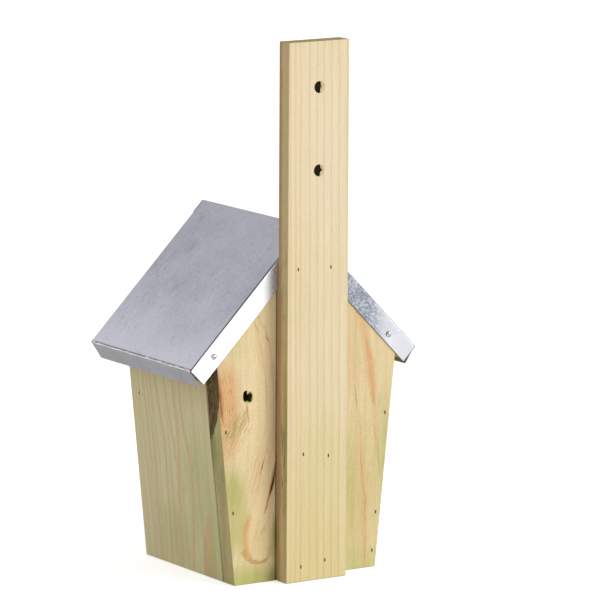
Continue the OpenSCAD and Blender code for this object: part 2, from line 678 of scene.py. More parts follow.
@dataclass(frozen=True)
class StraightGrowth(Growth):
    """Rings that run straight up the face, at chosen places across it."""

    SWAY_ACROSS: ClassVar[float] = 0.02
    SWAY_ALONG: ClassVar[float] = 0.012

    lines: tuple[float, ...]
    reach_mm: float
    soft_mm: float = 1.7
    sharp_mm: float = 0.8
    slant: float = 0.0
    sway_mm: float = 1.0
    turn: float = 0.7

    def late(self, timber: Timber, knots: tuple[Knot, ...]) -> Wire:
        """Share of dark late wood.

        Args:
            timber: the board's measures.
            knots: knots, which these rings don't bend round.

        Returns:
            A value from 0 to 1.
        """
        bench = timber.bench
        at = bench.vector(0.0, timber.side * self.SWAY_ACROSS, timber.height * self.SWAY_ALONG)
        sway = (bench.noise(at, 1.0, timber.SOFT_DETAIL) - 0.5) * (2 * self.sway_mm)
        side = timber.side + sway - timber.height * self.slant + timber.depth * self.turn
        stops = [(0.0, grey(0.0))]
        for place in self.lines:
            for shift, value in ((-self.soft_mm, 0.0), (0.0, 1.0), (self.sharp_mm, 0.0)):
                share = 0.5 + (place + shift) / (2 * self.reach_mm)
                if stops[-1][0] < share < 1.0:
                    stops.append((share, grey(value)))
        return bench.ramp(side * (0.5 / self.reach_mm) + 0.5, stops)


@dataclass(frozen=True)
class RoundGrowth(Growth):
    """Rings round a pith line that lies at a side place and a depth off the board."""

    WANDER_ACROSS: ClassVar[float] = 0.015
    WANDER_ALONG: ClassVar[float] = 0.006
    ROUND_KNOT: ClassVar[float] = 1.6

    pith: Pair
    spacing_mm: float = 5.5
    slant: float = 0.02
    wander_mm: float = 5.0

    def late(self, timber: Timber, knots: tuple[Knot, ...]) -> Wire:
        """Share of dark late wood.

        Args:
            timber: the board's measures.
            knots: knots that the rings bend round.

        Returns:
            A value from 0 to 1.
        """
        bench = timber.bench
        x = timber.side - self.pith[0] + timber.height * self.slant
        y = timber.depth - self.pith[1] + timber.height * self.slant
        at = bench.vector(
            timber.side * self.WANDER_ACROSS,
            timber.depth * self.WANDER_ACROSS,
            timber.height * self.WANDER_ALONG,
        )
        wander = bench.noise(at, 1.0, timber.SOFT_DETAIL) * self.wander_mm
        out = (x * x + y * y) ** 0.5 + wander
        for knot in knots:
            out = out + knot.far(timber).rise(3.2, 0.4) * (self.spacing_mm * self.ROUND_KNOT)
        ring = (out / self.spacing_mm).part()
        return ring.rise(0.3, 0.88) * ring.rise(1.0, 0.93)


@dataclass(frozen=True)
class PineFinish(Finish):
    """Planed pine, treated with a pale green preservative.

    The fields that end in _tone say how much each texture lightens and darkens the wood, and
    the capitals give the pitch, the length and the detail of its fibres.
    """

    BROAD: ClassVar[Pair] = (2.4, 90.0)
    FINE: ClassVar[Triple] = (0.5, 14.0, 3.0)
    PORES: ClassVar[Triple] = (0.8, 5.0, 2.0)

    grain: Grain
    growth: Growth
    pale: str
    late: str
    edge: str
    edge_late: str
    end: str = "A8905C"
    late_share: float = 0.62
    edge_late_share: float = 0.8
    edge_streak_share: float = 0.5
    broad_tone: float = 0.26
    fine_tone: float = 0.2
    dust_tone: float = 0.42
    pore_tone: float = 0.09
    relief_mm: float = 0.16
    marks: tuple[Streak | Wash | Flecks | Knot, ...] = ()
    edge_marks: tuple[Streak | Wash | Flecks, ...] = ()
    drift: Course = ()

    def face_colour(self, timber: Timber, late: Wire) -> Wire:
        """Colours the broad faces, with washes under the growth lines and other marks over.

        Args:
            timber: the board's measures.
            late: share of late wood.

        Returns:
            The colour.
        """
        face = paint(self.pale)
        for mark in self.marks:
            if isinstance(mark, Wash):
                face = mark.lay(timber, face)
        tint = tuple(dark / light for dark, light in zip(paint(self.late), paint(self.pale)))
        face = timber.bench.blend(late * self.late_share, face, tint, "MULTIPLY")
        for mark in self.marks:
            if not isinstance(mark, Wash):
                face = mark.lay(timber, face)
        return face

    def edge_colour(self, timber: Timber, late: Wire, broad: Wire) -> Wire:
        """Colours the narrow edges.

        Args:
            timber: the board's measures.
            late: share of late wood.
            broad: the broad fibres.

        Returns:
            The colour.
        """
        bench = timber.bench
        dark = paint(self.edge_late)
        edge = bench.blend(late * self.edge_late_share, paint(self.edge), dark)
        edge = bench.blend(broad.rise(0.45, 0.75) * self.edge_streak_share, edge, dark)
        for mark in self.edge_marks:
            edge = mark.lay(timber.edgewise(), edge)
        return edge

    def fill(self, bench: Bench) -> None:
        """Puts the timber's nodes on a bench.

        Args:
            bench: the empty bench.
        """
        timber = Timber(bench, self.grain)
        if self.drift:
            timber.flow = timber.side - timber.course(self.drift)[0]
        broad, fine = timber.fibres(*self.BROAD), timber.fibres(*self.FINE)
        knots = tuple(mark for mark in self.marks if isinstance(mark, Knot))
        late = self.growth.late(timber, knots) * (0.65 + broad * 0.6)
        face, edge = self.face_colour(timber, late), self.edge_colour(timber, late, broad)
        colour = bench.blend(abs(timber.faces_out).rise(0.35, 0.7), edge, face)
        pores = timber.fibres(*self.PORES).rise(0.66, 0.8)
        dust = bench.noise(bench.place_mm(), 0.9, 4.0, 0.75)
        tone = 1.0 + (broad - 0.5) * self.broad_tone + (fine - 0.5) * self.fine_tone
        tone = tone + (dust - 0.5) * self.dust_tone - pores * self.pore_tone
        colour = bench.shade(colour, tone)
        speck = bench.noise(bench.place_mm(), 1.6, 3.0)
        end = bench.shade(bench.blend(late, paint(self.end), paint(self.edge_late)), speck + 0.35)
        colour = bench.blend(timber.end_cut, colour, end)
        height = broad * 0.5 + fine * 0.3 + late * 0.35 - pores * 0.4 + speck * timber.end_cut
        bench.surface(
            Base_Color=colour,
            Roughness=0.6 + fine * 0.16 + timber.end_cut * 0.15,
            Normal=bench.relief(height, self.relief_mm),
            Specular_IOR_Level=0.3,
        )


@dataclass(frozen=True)
class TornFinish(Finish):
    """Rough wood in a bore or on a splinter."""

    dark: str
    light: str
    along: Triple = (0.0, 0.0, 1.0)
    pitch_mm: float = 0.5
    length_mm: float = 3.0
    relief_mm: float = 0.5

    def fill(self, bench: Bench) -> None:
        """Puts the torn wood's nodes on a bench.

        Args:
            bench: the empty bench.
        """
        timber = Timber(bench, Grain(self.along, (1.0, 0.0, 0.0)))
        fibre = timber.fibres(self.pitch_mm, self.length_mm)
        colour = bench.blend(fibre.rise(0.3, 0.7), paint(self.dark), paint(self.light))
        bench.surface(
            Base_Color=colour,
            Roughness=0.75 + fibre * 0.2,
            Normal=bench.relief(fibre, self.relief_mm),
            Specular_IOR_Level=0.2,
        )


@dataclass(frozen=True)
class BarkFinish(Finish):
    """Bark left on a board's edge, with moss along its rim."""

    rim: Course
    crack: str = "3C2E20"
    flake: str = "8E744E"
    deep_moss: str = "2E4410"
    pale_moss: str = "86A038"
    flake_fibres: Triple = (1.2, 7.0, 5.0)
    relief_mm: float = 0.7

    def fill(self, bench: Bench) -> None:
        """Puts the bark's nodes on a bench.

        Args:
            bench: the empty bench.
        """
        timber = Timber(bench, Grain((0.0, 0.0, 1.0), (0.0, 1.0, 0.0)))
        flakes = timber.fibres(*self.flake_fibres)
        colour = bench.blend(flakes.rise(0.3, 0.72), paint(self.crack), paint(self.flake))
        middle, half = timber.course(self.rim)
        off = abs(timber.side + (flakes - 0.5) * 2.0 - middle) / half.most(HAIR_MM)
        moss = bench.noise(bench.place_mm(), 0.8, 3.0)
        green = bench.blend(moss.rise(0.35, 0.7), paint(self.deep_moss), paint(self.pale_moss))
        tufts = bench.noise(bench.place_mm(), 0.55, 3.0, 0.7).rise(0.32, 0.46)
        colour = bench.blend(off.rise(1.0, 0.4) * tufts, colour, green)
        bench.surface(
            Base_Color=colour,
            Roughness=0.85 + flakes * 0.1,
            Normal=bench.relief(flakes + moss * 0.4, self.relief_mm),
            Specular_IOR_Level=0.2,
        )


@dataclass(frozen=True)
class Sheet:
    """What the parts of the zinc's look share: places in millimetres, and which face it is."""

    x: Wire
    y: Wire
    z: Wire
    slope: Wire
    gable: Wire
    streak: Wire
    grain: Wire


@dataclass(frozen=True)
class GalvanisedFinish(Finish):
    """Zinc-coated sheet: rolling streaks and specks, crystals that show near the ridge, and painted
    reflection and shade on its slopes, eaves, gables and undersides.

    Smudges are given as x, y and reach. The frost fades over two lengths, one at each end.
    """

    # painted reflection: the bare metal is lighter low on the roof and darker high towards the
    # ridge
    metal_low_sheen: str = "EFF0F5"
    metal_high_sheen: str = "D8D9E0"
    sheen_z_mm: Pair = (150.0, 240.0)
    dull: str = "B9BAC3"
    speck: str = "5C5F6A"
    smear: str = "8A8078"
    smudge: str = "847868"
    rust: str = "6E5440"
    # painted reflection: a dark line where the gable folds turn down from the slope
    painted_fold_reflection: str = "464A54"
    # painted shade: the gable folds on the left half of the roof are greyed, duller than the right
    # half
    painted_left_gable_shade: str = "A2A4A8"
    frost: str = "666E7A"
    lap_shade: str = "50545C"
    # painted reflection: faces that look sideways, chiefly the eave folds, are lightened to a pale
    # blue-grey
    eave: str = "DEE2EE"
    # painted shade: faces that look down, such as the cut edges under the folds, are darkened
    painted_underside_shade: str = "34342C"
    # painted reflection: faces that look up, the slopes, are darkened by the grey that they mirror
    painted_slope_reflection: Colour = (0.65, 0.65, 0.685, 1.0)
    crystal_mm: float = 1.35
    frosted_x_mm: Pair = (-72.0, 32.0)
    frost_fade_mm: Pair = (20.0, 8.0)
    eave_z_mm: float = 156.0
    half_mm: float = 94.0
    pitch_cos: float = 0.703
    pitch_sin: float = 0.711
    relief_mm: float = 0.03
    smudges: Course = (
        (28.0, -45.0, 8.0), (43.0, -64.0, 10.0), (53.0, -26.0, 7.0),
    )

    def sheet(self, bench: Bench, at: Wire) -> Sheet:
        """Lays out the measures and the rolling marks.

        Args:
            bench: the bench to work on.
            at: the point on the sheet, in millimetres.

        Returns:
            The measures.
        """
        x, y, z = (bench.node("SeparateXYZ", None, {0: at}, axis) for axis in ("X", "Y", "Z"))
        slope = abs(x) * 0.7 - z * 0.7
        gable = bench.turned_to(0.0, 1.0, 0.0).rise(0.7, 0.95)
        streak = bench.noise(bench.vector(y * 1.2, slope * 0.1, 0.0), 1.0, 5.0, 0.7)
        grain = bench.noise(bench.vector(y * 1.0, slope * 0.5, 0.0), 1.0, 4.0, 0.75)
        return Sheet(x, y, z, slope, gable, streak, grain)

    def rolled(self, bench: Bench, at: Wire, zinc: Sheet, specks: Wire) -> Wire:
        """Colours the flat metal: a painted reflection that is lighter low and darker high, dull
        clouds, specks, smears and smudges.

        Args:
            bench: the bench to work on.
            at: the point on the sheet, in millimetres.
            zinc: the sheet's measures.
            specks: where specks lie.

        Returns:
            The colour.
        """
        plain = 1.0 - zinc.gable * 0.85
        cloud = bench.noise(at, 0.03, 3.0)
        dulled = (zinc.streak * 0.6 + zinc.grain * 0.5 + cloud * 0.4).rise(0.5, 1.0) * plain
        dulled = dulled * zinc.z.rise(self.eave_z_mm - 20.0, self.eave_z_mm + 50.0)
        # painted reflection: lighter low on the roof, darker towards the ridge
        height = zinc.z.rise(*self.sheen_z_mm)
        height_sheen = bench.blend(height, paint(self.metal_low_sheen), paint(self.metal_high_sheen))
        colour = bench.blend(dulled, height_sheen, paint(self.dull))
        colour = bench.blend(specks * 0.55, colour, paint(self.speck))
        smeared = bench.vector(zinc.x * 0.06, zinc.y * 0.1, zinc.z * 0.06)
        smear = bench.noise(smeared, 1.0, 6.0, 0.8)
        colour = bench.blend(smear.rise(0.56, 0.72) * 0.4, colour, paint(self.smear))
        for side, depth, reach in self.smudges:
            off = (((zinc.x - side) * 1.4) ** 2.0 + (zinc.y - depth) ** 2.0) ** 0.5
            patch = (off / reach).rise(1.2, 0.1) * smear.rise(0.42, 0.56)
            cover = patch * (1.0 - zinc.gable) * 0.3
            colour = bench.blend(cover, colour, paint(self.smudge))
        return colour

    def folds(self, bench: Bench, zinc: Sheet, colour: Wire) -> Wire:
        """Adds rust along the eave fold and painted dark reflections along the gable folds.

        Args:
            bench: the bench to work on.
            zinc: the sheet's measures.
            colour: the colour of the flat metal.

        Returns:
            The colour with them.
        """
        rusty = bench.noise(bench.vector(zinc.x, zinc.y * 0.12, zinc.z), 1.0, 3.0).rise(0.3, 0.5)
        fold = abs(zinc.z - self.eave_z_mm).rise(1.7, 0.6) * (1.0 - zinc.gable)
        colour = bench.blend(rusty * fold * 0.85, colour, paint(self.rust))
        # painted reflection: dark lines on the rounded gable folds
        side_on = bench.turned_to(0.0, 1.0, 0.0)
        painted_fold_reflection = side_on.rise(0.04, 0.2) * side_on.rise(0.94, 0.72)
        return bench.blend(painted_fold_reflection * 0.85, colour, paint(self.painted_fold_reflection))

    def fill(self, bench: Bench) -> None:
        """Puts the zinc's nodes on a bench.

        Args:
            bench: the empty bench.
        """
        at = bench.place_mm()
        zinc = self.sheet(bench, at)
        x, z, gable = zinc.x, zinc.z, zinc.gable
        specks = bench.noise(bench.vector(zinc.y * 0.75, zinc.slope * 0.4, 0.0), 1.0, 2.0, 0.7)
        specks = specks.rise(0.62, 0.7) * (1.0 - gable * 0.8)
        colour = self.folds(bench, zinc, self.rolled(bench, at, zinc, specks))
        warp = bench.noise(at, 0.5, 3.0) * 3.0
        crystal = bench.vector(x + warp, zinc.y, z + warp)
        frost = bench.noise(crystal, 1 / self.crystal_mm, 3.0, 0.75)
        low, high = self.frosted_x_mm
        fade_low, fade_high = self.frost_fade_mm
        near = x.rise(low, low + fade_low) * x.rise(high, high - fade_high)
        frosted = frost.rise(0.38, 0.54) * near * gable
        # painted shade: the left half of each gable fold takes a duller grey than the right half
        left = x.rise(10.0, -20.0) * gable
        colour = bench.blend(left * 0.76 + left * near * 0.1, colour, paint(self.painted_left_gable_shade))
        frost_share = frosted * (0.45 + x.rise(10.0, -10.0) * 0.4)
        colour = bench.blend(frost_share, colour, paint(self.frost))
        up = (self.half_mm - abs(x)) * self.pitch_cos + (z - self.eave_z_mm) * self.pitch_sin
        colour = bench.blend(up.rise(0.9, 0.3) * gable * 0.8, colour, paint(self.lap_shade))
        # painted reflection: sideways faces, the eave folds, are lightened
        eave_reflection_share = bench.turned_to(1.0, 0.0, 0.0).rise(0.85, 0.97)
        colour = bench.blend(eave_reflection_share * 0.5, colour, paint(self.eave))
        # painted reflection: the slopes are darkened to the grey that they mirror
        slope_reflection_share = bench.turned_to(0.0, 0.0, 1.0).rise(0.42, 0.65)
        colour = bench.blend(slope_reflection_share, colour, self.painted_slope_reflection, "MULTIPLY")
        # painted shade: faces that look down are darkened
        underside_shade_share = bench.dot(bench.facing(), Vector((0.0, 0.0, -1.0))).rise(0.35, 0.65)
        colour = bench.blend(underside_shade_share * 0.9, colour, paint(self.painted_underside_shade))
        worn = zinc.grain * 0.1 + zinc.streak * 0.1 + specks * 0.15 + frosted * 0.1
        bench.surface(
            Base_Color=colour,
            Metallic=1.0,
            Roughness=0.3 + worn,
            Normal=bench.relief(
                zinc.grain * 0.4 + zinc.streak * 0.3 + frosted * 0.5, self.relief_mm
            ),
        )


@dataclass(frozen=True)
class SteelFinish(Finish):
    """Nail or brad metal, with tarnish in patches."""

    bright: str
    tarnish: str
    tarnish_share: float
    rough: float

    def fill(self, bench: Bench) -> None:
        """Puts the metal's nodes on a bench.

        Args:
            bench: the empty bench.
        """
        at = bench.place_mm()
        patch = bench.noise(at, 0.9, 4.0, 0.65)
        scratch = bench.noise(at, 6.0, 2.0)
        cover = patch.rise(0.75 - 0.5 * self.tarnish_share, 0.85 - 0.4 * self.tarnish_share)
        colour = bench.blend(cover, paint(self.bright), paint(self.tarnish))
        bench.surface(
            Base_Color=colour,
            Metallic=1.0 - cover * 0.7,
            Roughness=self.rough + cover * 0.3 + scratch * 0.1,
            Normal=bench.relief(patch + scratch * 0.3, 0.05),
        )


# ---------------------------------------------------------------- shapes


def made_piece(name: str, shape: Shape, *finishes: Finish) -> Piece:
    """Turns a shape into an object with its finishes.

    Args:
        name: the piece's name.
        shape: the mesh, which is used up.
        finishes: one look for each material number in the mesh.

    Returns:
        The object, in the scene.
    """
    mesh = bpy.data.meshes.new(name)
    shape.to_mesh(mesh)
    shape.free()
    for i, finish in enumerate(finishes):
        mesh.materials.append(finish.material(f"{name}_{i}"))
    piece = bpy.data.objects.new(name, mesh)
    bpy.context.scene.collection.objects.link(piece)
    return piece


def evaluated(piece: Piece) -> Piece:
    """Makes a piece's modifiers part of its mesh.

    Args:
        piece: the object.

    Returns:
        The same object, with no modifiers.
    """
    graph = bpy.context.evaluated_depsgraph_get()
    mesh = bpy.data.meshes.new_from_object(piece.evaluated_get(graph), depsgraph=graph)
    old = piece.data
    piece.modifiers.clear()
    piece.data = mesh
    bpy.data.meshes.remove(old)
    return piece


def carve(piece: Piece, *cutters: Piece) -> None:
    """Cuts shapes out of a piece, which takes their materials on the cut faces.

    Args:
        piece: the object to cut.
        cutters: the shapes, which are used up.
    """
    for cutter in cutters:
        cut = piece.modifiers.new("cut", "BOOLEAN")
        cut.operation = "DIFFERENCE"
        cut.solver = "EXACT"
        cut.use_self = True
        cut.material_mode = "TRANSFER"
        cut.object = cutter
    evaluated(piece)
    for cutter in cutters:
        bpy.data.objects.remove(cutter)


def soften(piece: Piece, sharp_deg: float = 38.0) -> None:
    """Shades a piece smoothly, but for its sharp edges and the borders of its finishes.

    Args:
        piece: the object.
        sharp_deg: the angle from which an edge stays sharp.
    """
    mesh = piece.data
    shape = bmesh.new()
    shape.from_mesh(mesh)
    for face in shape.faces:
        face.smooth = True
    for edge in shape.edges:
        looks = {face.material_index for face in edge.link_faces}
        edge.smooth = len(looks) == 1 and edge.calc_face_angle(0.0) < math.radians(sharp_deg)
    shape.to_mesh(mesh)
    shape.free()
    even = piece.modifiers.new("even", "WEIGHTED_NORMAL")
    even.keep_sharp = True


def settle(piece: Piece, slot: str, *nodes: str) -> Piece:
    """Fixes a finished piece to the frame and reports it.

    Args:
        piece: the object, in place.
        slot: not used.
        nodes: the CAD nodes that it stands for.

    Returns:
        The same object.
    """
    soften(piece)
    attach(piece, ROOT)
    if nodes:
        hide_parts(*nodes)
    log.info("%s: %d faces, stands for %s", piece.name, len(piece.data.polygons), nodes or "trim")
    return piece


def eased_copy(node: str, arris_mm: float, shortest_mm: float = 3.0) -> Shape:
    """Copies a CAD node's shape and eases its outer edges.

    Args:
        node: the CAD node.
        arris_mm: how much is taken off each edge.
        shortest_mm: edges shorter than this, round holes, stay sharp.

    Returns:
        The eased shape.
    """
    weld_mm, flat_deg, corner_deg, segments = 0.002, 0.3, 20, 3
    shape = bmesh.new()
    shape.from_mesh(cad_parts[node].data)
    for face in shape.faces:
        face.material_index = 0
    bmesh.ops.remove_doubles(shape, verts=shape.verts, dist=weld_mm * MM)
    bmesh.ops.dissolve_limit(
        shape, angle_limit=math.radians(flat_deg), verts=shape.verts, edges=shape.edges
    )
    outer = [
        edge
        for edge in shape.edges
        if edge.is_manifold
        and edge.is_convex
        and edge.calc_length() > shortest_mm * MM
        and edge.calc_face_angle() > math.radians(corner_deg)
    ]
    bmesh.ops.bevel(
        shape, geom=outer, offset=arris_mm * MM, segments=segments, profile=0.5, affect="EDGES"
    )
    return shape


def join_rows(shape: Shape, rows: list[list[bmesh.types.BMVert]]) -> None:
    """Fills the faces between open rows of points.

    Args:
        shape: the shape that holds the points.
        rows: rows with as many points each.
    """
    for low, high in zip(rows, rows[1:]):
        for i in range(len(low) - 1):
            shape.faces.new((low[i], low[i + 1], high[i + 1], high[i]))


def tube(rings: list[list[Vector]], shape: Shape | None = None) -> Shape:
    """Joins rings of points into a closed solid.

    Args:
        rings: rings with as many points each, in millimetres.
        shape: a shape to add it to.

    Returns:
        The shape.
    """
    shape = shape or bmesh.new()
    rows = [[shape.verts.new(point * MM) for point in ring] for ring in rings]
    count = len(rows[0])
    for low, high in zip(rows, rows[1:]):
        for i in range(count):
            k = (i + 1) % count
            shape.faces.new((low[i], low[k], high[k], high[i]))
    shape.faces.new(list(reversed(rows[0])))
    shape.faces.new(rows[-1])
    return shape


def closed(shape: Shape) -> Shape:
    """Turns every face of a closed shape outwards."""
    bmesh.ops.recalc_face_normals(shape, faces=shape.faces)
    return shape


def rough(point: Vector, fineness: float, seed: float = 0.0) -> float:
    """Reads a smooth random value from -1 to 1 at a place.

    Args:
        point: the place, in millimetres.
        fineness: how fast the value changes.
        seed: picks one of many fields.

    Returns:
        The value.
    """
    return noise.noise(point * fineness + Vector((seed * 7.3, seed * 3.1, seed * 5.7)))


def bore_cutter(
    name: str,
    middle_mm: Vector,
    radius_mm: float,
    length_mm: float,
    flare: Callable[[float, float], float],
    finish: Finish,
) -> Piece:
    """Makes the cutter for a hole along Y.

    Args:
        name: the cutter's name.
        middle_mm: the middle of the hole's mouth, on the face that looks to +Y.
        radius_mm: the hole's radius.
        length_mm: how deep it goes.
        flare: extra radius at an angle and a depth, both measured from the mouth.
        finish: the look of the hole's wall.

    Returns:
        The cutter.
    """
    sides = 48
    depths = [-2.0, -0.01, 0.15, 0.4, 0.8, 1.4, 2.4, 4.0, length_mm * 0.6]
    depths += [length_mm - 0.8, length_mm - 0.3, length_mm, length_mm + 2.0]
    rings = []
    for depth in depths:
        ring = []
        for i in range(sides):
            angle = 2 * math.pi * i / sides
            out = radius_mm + flare(angle, depth)
            offset = Vector((math.cos(angle) * out, -depth, math.sin(angle) * out))
            ring.append(middle_mm + offset)
        rings.append(ring)
    return made_piece(name, closed(tube(rings)), finish)


def splinter(
    shape: Shape,
    root_mm: Vector,
    tip_mm: Vector,
    width_mm: float,
    curl_mm: float,
    thick_mm: float = 0.35,
) -> None:
    """Adds one torn fibre that tapers from its root to its tip.

    Args:
        shape: the shape to add it to.
        root_mm: where it leaves the wood.
        tip_mm: its free end.
        width_mm: its width at the root.
        curl_mm: how far its middle bends out of the face.
        thick_mm: its thickness at the root.
    """
    steps, taper_power, tip_share, wobble = 5, 0.7, 0.06, 0.25
    run = tip_mm - root_mm
    out = Vector((0.0, 1.0, 0.0))
    wide = run.cross(out).normalized()
    rings = []
    for i in range(steps + 1):
        t = i / steps
        taper = (1 - t) ** taper_power + tip_share
        middle = root_mm + run * t + out * (curl_mm * 4 * t * (1 - t))
        middle += wide * (rough(middle, 0.9) * wobble * width_mm)
        half = wide * (width_mm * 0.5 * taper)
        deep = out * (thick_mm * 0.5 * taper)
        corners = ((-1, -1), (1, -1), (1, 1), (-1, 1))
        rings.append([middle + half * a + deep * b for a, b in corners])
    tube(rings, shape)


def lathe(profile_mm: list[Pair], sides: int) -> Shape:
    """Turns an outline round Z.

    Args:
        profile_mm: radius and height of each point, from the foot up.
        sides: how many sides the round has.

    Returns:
        The closed shape.
    """
    rings = []
    for radius, height in profile_mm:
        turn = [2 * math.pi * i / sides for i in range(sides)]
        rings.append([Vector((radius * math.cos(a), radius * math.sin(a), height)) for a in turn])
    return closed(tube(rings))


def placed(shape: Shape, at: Vector, outward: Vector) -> Shape:
    """Stands a shape that was made round Z on a face.

    Args:
        shape: the shape, with its top at Z = 0.
        at: where its top goes, in metres.
        outward: where its top looks.

    Returns:
        The same shape.
    """
    turn = Vector((0.0, 0.0, 1.0)).rotation_difference(outward)
    bmesh.ops.transform(
        shape, matrix=Matrix.Translation(at) @ turn.to_matrix().to_4x4(), verts=shape.verts
    )
    return shape


def middle_of(node: str) -> Vector:
    """The middle of a CAD node's box."""
    low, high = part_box(node)
    return (low + high) / 2


# ---------------------------------------------------------------- timber finishes

LEAN = math.radians(5.9)
PITCH_DEG = 45.3
BOX_X_MM = -2.0
SIDE_FOOT_MM = 59.0
FACE_OUT_MM = 60.5
UP = (0.0, 0.0, 1.0)

BATTEN_PINE = PineFinish(
    grain=Grain(UP, (-1.0, 0.0, 0.0), (BOX_X_MM, 74.4, 0.0)),
    growth=StraightGrowth(
        lines=(-21.4, -17.0, -12.9, -5.5, 0.8, 6.3, 12.6, 18.9, 25.6),
        reach_mm=32.0,
        soft_mm=1.5,
        sharp_mm=0.9,
        slant=-0.006,
        turn=0.9,
    ),
    pale="E6D6B0",
    late="E3B888",
    edge="CBB684",
    edge_late="C09468",
    end="A39C66",
    marks=(
        Wash("D8CA90", (0.0, 10.0), (60.0, 170.0), 0.85),
        Wash("DACB96", (-14.0, 205.0), (16.0, 70.0), 0.35),
        Wash("E9DABC", (6.0, 300.0), (30.0, 90.0), 0.5),
        Flecks("C8B478", (0.0, 190.0), (40.0, 220.0), 0.35, (0.6, 3.0), 0.25),
    ),
    edge_marks=(
        Streak("B0825A", ((0.0, -10.6, 3.4), (150.0, -10.2, 3.6), (380.0, -10.4, 3.2)), 0.8),
        Streak("D2B87E", ((0.0, -5.2, 1.6), (380.0, -4.8, 1.8)), 0.5),
        Wash("A39C5C", (-1.0, 90.0), (6.0, 120.0), 0.7),
        Flecks("4E5420", (-4.0, 92.0), (6.0, 70.0), 0.9, (1.1, 16.0), 0.45),
        Flecks("5A5226", (-5.0, 215.0), (6.0, 70.0), 0.7, (0.9, 16.0), 0.35),
        Streak("C2BE78", ((0.0, 0.0, 0.9), (380.0, 0.0, 0.7)), 0.7, 0.9, 0.5),
        # painted shade: a dark line along the batten's back edge, where it stands against the back
        # panel
        Streak("6E6236", ((0.0, -14.0, 0.9), (240.0, -14.0, 0.7), (380.0, -14.0, 0.4)), 0.7),
    ),
)

